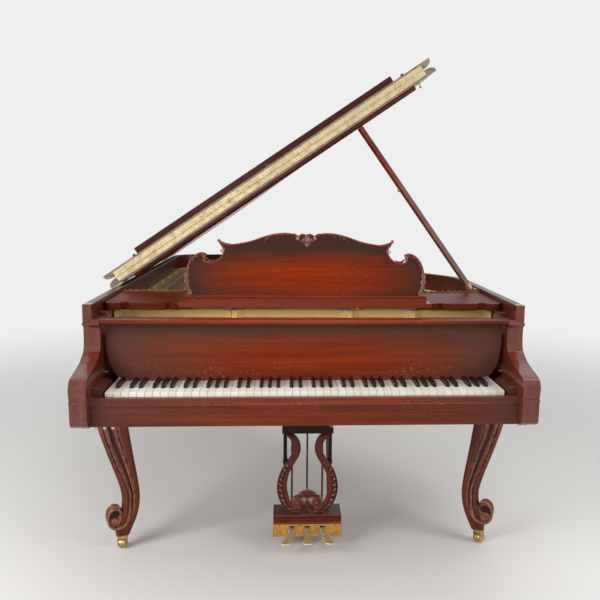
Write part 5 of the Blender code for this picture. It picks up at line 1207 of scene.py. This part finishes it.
def rods(ends, radius, sides=4):
    # many straight rods at once: ends is (rods, stations, 3); rings lie square to the y axis, or to z for pins
    ends = np.asarray(ends, float)
    count, stations = ends.shape[:2]
    ring = circle(sides)
    upright = np.abs(ends[0, -1, 2] - ends[0, 0, 2]) > np.abs(ends[0, -1, 1] - ends[0, 0, 1])
    zero = np.zeros(sides)
    offset = np.stack((ring[:, 0], ring[:, 1], zero) if upright else (ring[:, 0], zero, ring[:, 1]), -1)
    radius = np.broadcast_to(np.asarray(radius, float).reshape(-1, 1, 1, 1), (count, 1, 1, 1))
    points = ends[:, :, None] + offset[None, None] * radius
    first = np.arange(sides)
    step = np.arange(stations - 1)[:, None] * sides
    one = np.stack((first + step, (first + 1) % sides + step, (first + 1) % sides + step + sides, first + step + sides), -1)
    base = (np.arange(count) * stations * sides)[:, None, None]
    quads = (one.reshape(1, -1, 4) + base).reshape(-1, 4)
    caps = [first[None, ::-1] + base[:, 0], first[None] + (stations - 1) * sides + base[:, 0]]
    return points.reshape(-1, 3), [quads, *caps]


def stringPlaces():
    # notes in four straight sections; lengths fall evenly in the bass and by a fixed ratio in the treble
    sections = ((26, -0.588, -0.297), (26, -0.203, 0.146), (18, 0.226, 0.382), (18, 0.452, 0.590))
    x = np.concatenate([np.linspace(left, right, count) for count, left, right in sections])
    y = np.concatenate([np.full(section[0], start) for section, start in zip(sections, strung["starts"])])
    note = np.arange(1, 89)
    length = np.where(note <= 26, 1.45 - 0.006 * (note - 1), 0.056 * 1.0515 ** (88.0 - note))
    return x, y, length


def makeStrings():
    x, y, length = stringPlaces()
    note = np.arange(88)
    count = np.where(note < strung["singles"], 1, np.where(note < strung["bass"], 2, 3))
    owner = np.repeat(note, count)
    place = np.concatenate([np.arange(c) for c in count])
    sx = x[owner] + (place - (count[owner] - 1) / 2) * strung["spread"]
    start, end = y[owner], (y + length)[owner]
    pin = start - strung["pinFirst"] - place * strung["pinRow"] - (owner % 2) * 0.0032
    level = strung["level"]
    z = np.full(len(sx), level)
    line = np.stack([np.stack((sx, at, height), -1) for at, height in
                     ((pin, z - 0.0050), (start - 0.010, z - 0.0008), (end, z + 0.0009), (end + 0.040, z - 0.0080))], 1)
    low = owner < strung["bass"]
    thick = np.interp(owner, (0, strung["bass"]), strung["wound"])
    build("strings_wound", rods(line[low], thick[low], 6), paint["copperWire"], "case", sharp=80)
    build("strings_plain", rods(line[~low], strung["plain"], 4), paint["steelWire"], "case", sharp=80)
    def pinsAt(at, low, high):
        return np.stack((np.stack((sx, at, z * 0 + low), -1), np.stack((sx, at, z * 0 + high), -1)), 1)
    build("pins_tuning", rods(pinsAt(pin - 0.0034, 0.8995, 0.9200), 0.0033, 6), paint["steelWire"], "case",
          sharp=50)
    build("pins_hitch", rods(pinsAt(end + 0.041, 0.8995, 0.9080), 0.0013, 5), paint["steelWire"], "case",
          sharp=50)
    bassLine = np.stack((x[:26], (y + length)[:26]), -1)[[0, -1]] + ((-0.006, 0), (0.006, 0))
    bass = sweep(flatPath(bassLine), roundedBox(-0.014, 0.014, 0.8727, level + 0.0002, 0.0014, 3), (0, 0, 1))
    build("bridge_bass", bass, paint["beechWood"], "case", ("bass_bridge",))
    ends = np.stack((x, y + length), -1)[26:]
    picked = np.concatenate((ends[:1] + (-0.012, 0.012), ends[::4], ends[-1:] + (0.010, -0.002)))
    parts = [sweep(flatPath(picked), roundedBox(-0.0125, 0.0125, 0.8727, 0.886, 0.0012, 2), (0, 0, 1))]
    for a, b in ((0, 26), (26, 44), (44, 62)):
        part = np.concatenate((ends[a:a + 1] - (0.005, 0), ends[a:b:4], ends[b - 1:b] + (0.005, 0)))
        parts.append(sweep(flatPath(part), roundedBox(-0.011, 0.011, 0.881, level + 0.0002, 0.0012, 2), (0, 0, 1)))
    build("bridge_treble", merged(*parts), paint["beechWood"], "case", ("treble_bridge",))
    # felt under the strings between pins and bar, and the plate's bolts
    strips = [block((left, at - 0.0305, 0.8995), (right, at - 0.0185, 0.9072)) for left, right, at in
              ((-0.600, -0.262, strung["starts"][0]), (-0.238, 0.165, strung["starts"][1]),
               (0.205, 0.398, strung["starts"][2]), (0.438, 0.600, strung["starts"][3]))]
    build("string_felts", merged(*strips), paint["redFelt"], "case", bevel=0.0012)
    # a low upright flange in front of the pins, swelling forwards at each strut
    flanges = []
    for left, right in ((-0.645, -0.2545), (-0.2295, 0.1385), (0.1635, 0.3555), (0.3805, 0.645)):
        x = np.linspace(left, right, 49)
        near = 0.3200 - 0.0190 * np.maximum(0, 1 - np.minimum(x - left, right - x) / 0.020)
        outline = np.concatenate((np.stack((x, near), -1), [(right, 0.3330), (left, 0.3330)]))
        flanges.append(prism(outline, 0.8990, 0.9262, "z"))
    build("plate_flange", merged(*flanges), paint["plateBronzeAndPaintedLight"], "case", bevel=0.0020, steps=3, sharp=50)
    ring = inside(caseLine(0.66), 0.046)
    walk = np.concatenate(([0], np.cumsum(np.linalg.norm(np.diff(ring, axis=0), axis=1))))
    places = [(np.interp(at, walk, ring[:, 0]), np.interp(at, walk, ring[:, 1])) for at in np.linspace(0.05, walk[-1] - 0.05, 17)]
    head = turned([(0.0085, 0), (0.0085, 0.0022), (0.0066, 0.0040), (0.0025, 0.0048)], (0, 0, 0), (0, 0, 1), 14)
    bolts = [moved(head, lambda points, px=px, py=py: points + (px, py, 0.8998)) for px, py in places]
    build("plate_bolts", merged(*bolts), paint["plateBronzeAndPaintedLight"], "case", sharp=50)


makeStrings()
made |= {"bass_bridge", "treble_bridge"}
print("inside pieces made")

# ---- legs, casters, lyre and pedals

leg = {"places": {"front_left": (-0.6724, 0.4707, -160, 90), "front_right": (0.6724, 0.4707, -20, 40),
                  "rear": (-0.36, 2.0, 90, 60)},
       "volute": (0.022, 0.127, 0.029, 0.0395), "eye": (0.0268, 0.1165), "half": 0.0232, "stud": (-0.006, 0.299),
       "casterZ": 0.019, "casterTrail": 0.010}
# height, distance along the outward direction, depth of the section, thickness
legStations = [(0.588, 0.006, 0.100, 0.074), (0.547, 0.019, 0.110, 0.074), (0.507, 0.026, 0.113, 0.070),
               (0.470, 0.0235, 0.1060, 0.066), (0.400, 0.0085, 0.0955, 0.058), (0.330, -0.0084, 0.0829, 0.052),
               (0.270, -0.0233, 0.0722, 0.048), (0.210, -0.0340, 0.0637, 0.046), (0.160, -0.0320, 0.0605, 0.046),
               (0.120, -0.0214, 0.0600, 0.046), (0.090, -0.0080, 0.0620, 0.046), (0.072, -0.0035, 0.0550, 0.045),
               (0.0578, -0.0007, 0.0485, 0.044)]
# the ridge that leaves the shaft, runs under the volute and winds into it: distance outwards, height, radius
voluteRidge = [(-0.0262, 0.190, 0.0020), (-0.0292, 0.160, 0.0040), (-0.0262, 0.133, 0.0050), (-0.0185, 0.110, 0.0054),
               (-0.0070, 0.0965, 0.0056), (0.0080, 0.0900, 0.0056), (0.0240, 0.0885, 0.0054), (0.0395, 0.0960, 0.0052),
               (0.0490, 0.1130, 0.0050), (0.0508, 0.1335, 0.0050), (0.0455, 0.1515, 0.0050), (0.0335, 0.1625, 0.0052),
               (0.0195, 0.1640, 0.0054), (0.0085, 0.1560, 0.0048), (0.0045, 0.1420, 0.0042), (0.0065, 0.1245, 0.0038),
               (0.0135, 0.1095, 0.0035), (0.0260, 0.1035, 0.0033), (0.0375, 0.1080, 0.0031), (0.0415, 0.1190, 0.0029),
               (0.0370, 0.1290, 0.0026)]


def bump1(value, middle, wide):
    return np.exp(-((value - middle) / wide) ** 2)


def legShaft():
    # a rounded square section (fifth powers) pressed in by a groove and a flute that drift back down the leg
    line = smoothLine(legStations, 7)
    side = np.linspace(-1, 1, 31)[:-1]
    square = np.concatenate([np.stack(pair, -1) for pair in ((side, -1 + 0 * side), (1 + 0 * side, side),
                                                             (-side, 1 + 0 * side), (-1 + 0 * side, -side))])
    square = square / ((np.abs(square) ** 5).sum(-1, keepdims=True)) ** 0.2
    a, b = square.T
    z, s, wide, thick = line.T[:, :, None]
    drift = np.clip((0.42 - z) / 0.20, 0, 1)
    fade = np.clip((z - 0.10) / 0.05, 0, 1) * np.clip((0.60 - z) / 0.03, 0.3, 1)
    a2 = a + drift * np.interp(a, (-1, 0.0, 0.25, 0.72, 1), (0, 0.36, 0.40, 0.14, 0))
    press = 0.13 * bump1(a2, 0.71, 0.05) + 0.21 * bump1(a2, 0.23, 0.15) + 0.07 * bump1(a2, -0.21, 0.045)
    ridge = 0.05 * bump1(a2, 0.88, 0.10) + 0.06 * bump1(a2, 0.50, 0.10) + 0.05 * bump1(a2, -0.06, 0.06)
    nose = np.where(a > 0, 0.10 * bump1(b, 0, 0.22) - 0.03 * bump1(np.abs(b), 0.5, 0.2), 0)
    across = b * (1 - (press - 0.5 * ridge) * fade)
    out = a * (1 - nose * fade)
    return s + out * wide / 2, across * thick / 2, np.broadcast_to(z, across.shape)


def makeLeg(name, x, y, facing, top):
    angle = math.radians(facing)
    out, across = np.array((math.cos(angle), math.sin(angle), 0)), np.array((-math.sin(angle), math.cos(angle), 0))

    def at(s, w, z):
        s, w, z = np.broadcast_arrays(np.asarray(s, float), w, z)
        return np.array((x, y, 0)) + s[..., None] * out + w[..., None] * across + z[..., None] * np.array((0, 0, 1.0))

    parts = [grid(at(*legShaft()), wrapColumns=True, caps=True)]
    s0, z0, wide, high = leg["volute"]
    eye, half = leg["eye"], leg["half"]
    ring = circle(40)
    # the drum of the volute, its sides sunk inside a rounded edge
    profile = [(0.06, -half + 0.0045), (0.66, -half + 0.0045), (0.86, -half + 0.0030), (0.95, -half + 0.0006),
               (1.0, -half + 0.0040), (0.985, 0.0), (1.0, half - 0.0040), (0.95, half - 0.0006), (0.86, half - 0.0030),
               (0.66, half - 0.0045), (0.06, half - 0.0045)]
    parts.append(grid(np.array([at(s0 + ring[:, 0] * wide * share, w, z0 + ring[:, 1] * high * share) for share, w in profile]),
                      wrapColumns=True, caps=True))
    line = smoothLine(voluteRidge, 6)
    for side in (-1, 1):
        lift = side * (half - 0.0020 - 0.0010 * np.linspace(0, 1, len(line)))
        parts.append(tube(at(line[:, 0], lift, line[:, 1]), line[:, 2], 12, across))
        parts.append(ball(at(eye[0], side * (half - 0.0050), eye[1]), 0.0145, 26, across, 0.55))
    web = smoothLine([(-0.020, 0.158), (0.000, 0.150), (0.020, 0.128), (0.030, 0.102), (0.014, 0.086), (-0.012, 0.082)], 5)
    parts.append(grid(np.array([at(web[:, 0], side * 0.0195, web[:, 1]) for side in (-1, 1)]), wrapColumns=True, caps=True))
    build("leg_" + name + "_carved", merged(*parts), paint["legLacquer"], "case", ("leg_" + name,), sharp=50)
    middle = np.array((x, y)) + 0.028 * out[:2]
    if y < 1.0:
        middle[0] = math.copysign(min(abs(middle[0]), 0.642), middle[0])
    mx, my = middle
    cap = block((mx - 0.050, my - 0.050, 0.5727), (mx + 0.050, my + 0.050, top))
    build("leg_" + name + "_block", cap, paint["legLacquer"], "case", bevel=0.0025, steps=3)
    if name == "front_left":
        stud = ball(at(leg["stud"][0], 0.0232, leg["stud"][1]), 0.0030, 12, across, 0.6)
        build("leg_stud", stud, paint["oldBrass"], "case")


def makeCaster(name, x, y, heading):
    angle = math.radians(heading)
    ahead, axle = np.array((math.cos(angle), math.sin(angle), 0)), np.array((-math.sin(angle), math.cos(angle), 0))
    hub = np.array((x, y, leg["casterZ"])) + leg["casterTrail"] * ahead
    wheel = turned([(0.0060, -0.0125), (0.0125, -0.0118), (0.0165, -0.0130), (0.0183, -0.0120), (0.0190, -0.0080),
                    (0.0190, 0.0080), (0.0183, 0.0120), (0.0165, 0.0130), (0.0125, 0.0118), (0.0060, 0.0125)], hub, axle, 40)
    build("caster_wheel_" + name + "_turned", wheel, paint["oldBrass"], "wheel_" + name, ("caster_wheel_" + name,),
          sharp=50)


for name, (x, y, facing, heading) in leg["places"].items():
    makeLeg(name, x, y, facing, 0.6217 if y < 1 else 0.6317)
    makeCaster(name, x, y, heading)
    made |= {"leg_" + name, "caster_wheel_" + name}
print("legs and casters made")

lyre = {"x": 0.016, "front": 0.455, "back": 0.485, "top": 0.4417, "boxTop": 0.1320, "ringTop": 0.335, "low": 0.1325}
# distance from the middle, height, width of the scroll band on the right
lyreStations = [(0.0085, 0.1680, 0.008), (0.0200, 0.1500, 0.012), (0.0450, 0.1430, 0.0200), (0.0710, 0.1640, 0.029),
                (0.0860, 0.1920, 0.038), (0.0955, 0.2380, 0.0375), (0.0870, 0.2870, 0.034), (0.0690, 0.3220, 0.029),
                (0.0540, 0.3450, 0.0275), (0.0410, 0.3760, 0.0290), (0.0435, 0.4060, 0.0300), (0.0580, 0.4290, 0.024),
                (0.0780, 0.4385, 0.010)]


def lyreSpace(place, depth):
    x, z = np.moveaxis(np.asarray(place, float), -1, 0)
    return np.stack((x + lyre["x"], lyre["front"] - depth + 0 * x, z), -1)


def lyreScroll():
    # a band along the curve: a half-round roll above; below it a plain inner half, a leaf relief and a raised rim
    line = smoothLine(lyreStations, 9)
    place, wide = line[:, :2], line[:, 2:3]
    ahead = unit(np.gradient(place, axis=0))
    outward = np.stack((ahead[:, 1], -ahead[:, 0]), -1)
    walk = np.concatenate(([0], np.cumsum(np.linalg.norm(np.diff(place, axis=0), axis=1))))[:, None]
    v = np.concatenate((np.linspace(-1, 1, 33), np.linspace(1, -1, 9)[1:-1]))[None]
    front = np.arange(v.shape[1])[None] < 33
    ring = np.clip((lyre["ringTop"] - place[:, 1:]) / 0.02, 0, 1)
    roll = 0.0075 * np.sqrt(np.clip(1 - v ** 2, 0, 1)) + 0.0012 * bump1(np.abs(v), 0.25, 0.12)
    inner = 0.0042 * np.sqrt(np.clip(1 - ((v + 0.55) / 0.46) ** 2, 0, 1))
    lobe = np.abs(np.sin(walk / 0.0195 * np.pi - 1.9 * np.clip(v, 0, 1))) ** 0.7
    vein = 0.75 + 0.25 * np.cos(walk / 0.0195 * 4 * np.pi - 5.0 * v)
    relief = 0.0068 * np.sqrt(np.clip(1 - ((v - 0.34) / 0.42) ** 2, 0, 1)) * lobe * vein
    rim = 0.0060 * np.sqrt(np.clip(1 - ((v - 0.88) / 0.13) ** 2, 0, 1))
    carved = np.maximum(np.maximum(inner, relief), rim) - 0.0012 * bump1(v, -0.07, 0.05)
    depth = np.where(front, ring * carved + (1 - ring) * roll, -0.0290)
    top = np.clip((v * 0 + place[:, 1:] + outward[:, 1:] * v * wide / 2), lyre["low"], lyre["top"])
    across = place[:, :1] + outward[:, :1] * v * wide / 2
    return grid(lyreSpace(np.stack((across, top), -1), depth), wrapColumns=True, caps=True)


def acrossLyre(part):
    # the left half mirrors the right one about the lyre's own middle
    points, groups = part
    flipped = points * (-1, 1, 1) + (2 * lyre["x"], 0, 0)
    return merged(part, (flipped, [group[:, ::-1] for group in groups]))


def makeLyre():
    x0, front, back = lyre["x"], lyre["front"], lyre["back"]
    right = [lyreScroll()]
    eye = np.array((x0 + 0.0372, front - 0.0005, 0.1750))
    right.append(turned([(0.002, -0.0010), (0.0160, -0.0010), (0.0200, 0.0004), (0.0215, 0.0030), (0.0215, 0.0265), (0.002, 0.0265)],
                        eye, (0, 1, 0), 40))
    right.append(spiral(eye - (0, 0.0022, 0), (-1, 0, 0), (0, 0, 1), 0.0195, 0.0050, 1.9, -75, 0.0042, 0.0024, 12, 34))
    right.append(ball(eye - (0, 0.0025, 0), 0.0072, 18, (0, 1, 0), 0.8))
    post = prism(roundedBox(x0 + 0.0765, x0 + 0.0905, front + 0.006, back - 0.006, 0.003, 4), 0.318, lyre["top"], "z")
    stripe = tube([(x0 + 0.0835, front + 0.0062, 0.335), (x0 + 0.0835, front + 0.0062, lyre["top"] - 0.001)], 0.0024, 8, (1, 0, 0))
    foot = prism(roundedBox(x0 + 0.0700, x0 + 0.0915, front + 0.003, back - 0.005, 0.002, 3), 0.3270, 0.3385, "z")
    under = block((x0 + 0.0370, front + 0.003, 0.1323), (x0 + 0.0530, back - 0.003, 0.1460))
    right += [under]
    # the posts take the near-black lacquer, a painted shade
    build("lyre_posts", acrossLyre(merged(post, stripe, foot)), paint["paintedShadeLacquer"], "case")
    # leaf curls: where scroll and ring meet, and outwards from the crest over the volute
    for points, width, height, lobes in (([(0.044, 0.341), (0.056, 0.333), (0.067, 0.322), (0.076, 0.307)], 0.015, 0.0072, 3),
                                         ([(0.006, 0.1960), (0.018, 0.2030), (0.032, 0.2045), (0.046, 0.1985)], 0.0135, 0.0060, 3),
                                         ([(0.005, 0.2040), (0.014, 0.2120), (0.024, 0.2155), (0.034, 0.2120)], 0.0110, 0.0055, 2),
                                         ([(0.004, 0.2120), (0.009, 0.2190), (0.015, 0.2225), (0.021, 0.2200)], 0.0085, 0.0050, 2)):
        right.append(leafOn(points, width, height, lobes, 5, lyreSpace, 0.0022))
    middle = [leafOn([(0, 0.196), (0, 0.206), (0, 0.218), (0, 0.2300)], 0.0150, 0.0065, 3, 6, lyreSpace, 0.002),
              ball(lyreSpace((0, 0.1930), 0.0045), 0.0066, 18),
              leafOn([(0, 0.1880), (0, 0.176), (0, 0.160), (0, 0.1415)], 0.0200, 0.0065, 1, 6, lyreSpace, 0.001)]
    crest = prism([(x0 + x, z) for x, z in ((-0.026, 0.172), (0.026, 0.172), (0.026, 0.192), (0.015, 0.206), (0.002, 0.226),
                                            (-0.002, 0.226), (-0.015, 0.206), (-0.026, 0.192))], front + 0.003, back - 0.006, "y")
    point = prism([(x0 + x, z) for x, z in ((-0.020, 0.180), (-0.013, 0.160), (0.0, 0.1430), (0.013, 0.160), (0.020, 0.180))],
                  front + 0.004, back - 0.007, "y")
    build("lyre_scrolls_carved", merged(acrossLyre(merged(*right)), *middle, crest, point), paint["lyreLacquer"], "case",
          ("lyre_scrolls",), sharp=62)
    # half-round lines on the pedal box, and the screws of its brass plate
    lines = [tube([(x0 - reach, 0.4450, level), (x0 + reach, 0.4450, level)], size, 10, (0, 0, 1))
             for level, size, reach in ((0.1302, 0.0020, 0.1262), (0.1272, 0.0010, 0.1130), (0.1152, 0.0010, 0.1130),
                                        (0.1010, 0.0030, 0.1268))]
    build("pedal_box_lines", merged(*lines), paint["edgeLacquer"], "case")
    head = turned([(0.0034, 0), (0.0034, 0.0004), (0.0020, 0.0012), (0.0006, 0.0014)], (0, 0, 0), (0, -1, 0), 12)
    heads = [moved(head, lambda points, x=x, z=z: points + (x, 0.4422, z)) for x, z in
             ((-0.0877, 0.0915), (-0.0131, 0.0918), (0.0449, 0.0918), (0.1199, 0.0915), (-0.0857, 0.0673), (0.1203, 0.0640))]
    build("pedal_plate_screws", merged(*heads), paint["screwBrass"], "case", sharp=50)


def makePedal(name, offset, flare):
    # rounded sections along a line that dips and swings out to a broad round toe
    x0, y0, z0 = lyre["x"] + offset, 0.470, 0.082
    stations = smoothLine([(y0 + 0.058, z0 - 0.0075, 0, 0.016), (y0 + 0.010, z0 - 0.0075, 0, 0.017), (y0 - 0.012, z0 - 0.0050, 0, 0.0185),
                           (y0 - 0.045, z0 - 0.004, 0, 0.0195), (y0 - 0.075, z0 - 0.014, flare * 0.35, 0.0240),
                           (y0 - 0.096, z0 - 0.0213, flare * 0.8, 0.0330), (y0 - 0.1050, z0 - 0.0242, flare * 0.97, 0.0340),
                           (y0 - 0.1112, z0 - 0.0255, flare * 1.07, 0.0270), (y0 - 0.1138, z0 - 0.0258, flare * 1.1, 0.0120)], 5)
    y, z, dx, wide = stations.T[:, :, None]
    ring = circle(20)
    a, b = np.sign(ring) [:, 0] * np.abs(ring[:, 0]) ** 0.6, np.sign(ring)[:, 1] * np.abs(ring[:, 1]) ** 0.8
    thick = 0.0074 - 0.0016 * np.clip((y0 - 0.100 - y) / 0.014, 0, 1)
    crown = 0.0008 * (1 - a ** 2) * (b > 0)
    points = np.stack((x0 + dx + a * wide / 2, y + 0 * a, z + b * thick / 2 + crown), -1)
    build("pedal_" + name + "_cast", grid(points, wrapColumns=True, caps=True), paint["pedalBrass"], "pedal_" + name,
          ("pedal_" + name,), sharp=60)
    # a felted nut where the rod stands on the pedal
    nut = turned([(0.0036, 0), (0.0062, 0.0006), (0.0062, 0.0046), (0.0050, 0.0060), (0.0036, 0.0064)],
                 (x0, 0.512, lyre["boxTop"] + 0.0002), (0, 0, 1), 16)
    rod = turned([(0.0030, 0.0785), (0.0035, 0.0795), (0.0035, 0.5885), (0.0030, 0.5897)], (x0, 0.512, 0), (0, 0, 1), 16)
    build("pedal_rod_" + name + "_round", rod, paint["rodIron"], "rod_" + name, ("pedal_rod_" + name,))
    return nut


makeLyre()
bushes = [makePedal(name, offset, flare) for name, offset, flare in
          (("left", -0.0575, -0.024), ("centre", 0.0, 0.0), ("right", 0.0575, 0.024))]
build("pedal_box_bushes", merged(*bushes), paint["redFelt"], "case")
made |= {"lyre_scrolls"} | {kind + side for kind in ("pedal_", "pedal_rod_") for side in ("left", "centre", "right")}
print("lyre and pedals made")


# ---- CAD shapes that only need rounded edges: material, slot, edge radius
softNodes = {
    "rim": ("caseLacquer", "mahogany", 0.0020), "inner_rim": ("beechWood", "beech", 0.0008),
    "arm_left": ("standLacquer", "mahogany", 0.0015), "arm_right": ("standLacquer", "mahogany", 0.0015),
    "keybed": ("frontLacquer", "mahogany", 0.0015), "key_slip": ("frontLacquer", "mahogany", 0.0010),
    "key_block_left": ("frontLacquer", "mahogany", 0.0010), "key_block_right": ("frontLacquer", "mahogany", 0.0010),
    "nameboard_rail": ("frontLacquer", "mahogany", 0.0010), "pin_block": ("beechWood", "beech", 0.0006),
    "case_braces": ("beechWood", "beech", 0.0010), "soundboard": ("spruceWood", "spruce", 0.0006),
    "cast_plate": ("plateBronzeAndPaintedLight", "gold_iron", 0.0016), "bass_bridge": ("beechWood", "beech", 0.0),
    "treble_bridge": ("beechWood", "beech", 0.0), "side_hinge_front": ("hingeBrass", "brass", 0.0004),
    "side_hinge_rear": ("hingeBrass", "brass", 0.0004), "prop_bracket": ("oldBrass", "brass", 0.0004),
    "leg_front_left": ("standLacquer", "mahogany", 0.0012), "leg_front_right": ("standLacquer", "mahogany", 0.0012),
    # lyre_top_block takes the near-black lacquer, a painted shade
    "leg_rear": ("standLacquer", "mahogany", 0.0012), "lyre_top_block": ("paintedShadeLacquer", "mahogany", 0.0012),
    "lyre_scrolls": ("standLacquer", "mahogany", 0.0012), "pedal_box": ("standLacquer", "mahogany", 0.0012),
    "pedal_plate": ("pedalPlateBrass", "brass", 0.0004), "lyre_brace_left": ("rodIron", "brass", 0.0),
    "lyre_brace_right": ("rodIron", "brass", 0.0), "lid_main": ("lidLacquer", "mahogany", 0.0025),
    "hinge_leaf_main": ("hingeBrass", "brass", 0.0003), "lid_flap": ("lidLacquer", "mahogany", 0.0025),
    "hinge_leaf_flap": ("hingeBrass", "brass", 0.0003), "prop_stick": ("frontLacquer", "mahogany", 0.0012),
    "fallboard": ("panelLacquer", "mahogany", 0.0020), "music_shelf": ("frontLacquer", "mahogany", 0.0015),
    "music_desk": ("deskLacquer", "mahogany", 0.0020), "desk_strut": ("frontLacquer", "mahogany", 0.0006),
    "natural_keys": ("ivory", "ivory", 0.0005), "sharp_keys": ("ebony", "ebony", 0.0012),
    "hammer_rack": ("beechWood", "beech", 0.0), "damper_rack": ("ebony", "ebony", 0.0006),
    "key_c4": ("ivory", "ivory", 0.0005), "key_d4": ("ivory", "ivory", 0.0005), "key_e4": ("ivory", "ivory", 0.0005),
    "key_c4_sharp": ("ebony", "ebony", 0.0006), "key_d4_sharp": ("ebony", "ebony", 0.0006),
    "pedal_left": ("oldBrass", "brass", 0.0008), "pedal_centre": ("oldBrass", "brass", 0.0008),
    "pedal_right": ("oldBrass", "brass", 0.0008), "pedal_rod_left": ("oldBrass", "brass", 0.0),
    "pedal_rod_centre": ("oldBrass", "brass", 0.0), "pedal_rod_right": ("oldBrass", "brass", 0.0),
    "trap_lever_left": ("beechWood", "beech", 0.0008), "trap_lever_centre": ("beechWood", "beech", 0.0008),
    "trap_lever_right": ("beechWood", "beech", 0.0008),
    "caster_fork_front_left": ("oldBrass", "brass", 0.0004), "caster_fork_front_right": ("oldBrass", "brass", 0.0004),
    "caster_fork_rear": ("oldBrass", "brass", 0.0004), "caster_wheel_front_left": ("oldBrass", "brass", 0.0008),
    "caster_wheel_front_right": ("oldBrass", "brass", 0.0008), "caster_wheel_rear": ("oldBrass", "brass", 0.0008),
}


def isKeyWood(centers, normals):
    # everything below the ivory plates but their front faces
    front = (normals[:, 1] < -0.6) & (centers[:, 1] < 0.004)
    return (centers[:, 2] < 0.7185) & ~front


seconds = {"natural_keys": ("spruceWood", isKeyWood), "key_c4": ("spruceWood", isKeyWood),
           "key_d4": ("spruceWood", isKeyWood), "key_e4": ("spruceWood", isKeyWood),
           "damper_rack": ("whiteFelt", lambda centers, normals: centers[:, 2] < 0.9190),
           "hammer_rack": ("whiteFelt", lambda centers, normals: centers[:, 2] > 0.852)}
for node, (finish, slot, radius) in softNodes.items():
    if node not in made:
        second = (paint[seconds[node][0]], seconds[node][1]) if node in seconds else None
        softened(node, paint[finish], radius, second=second)
print("softened nodes:", len(softNodes))
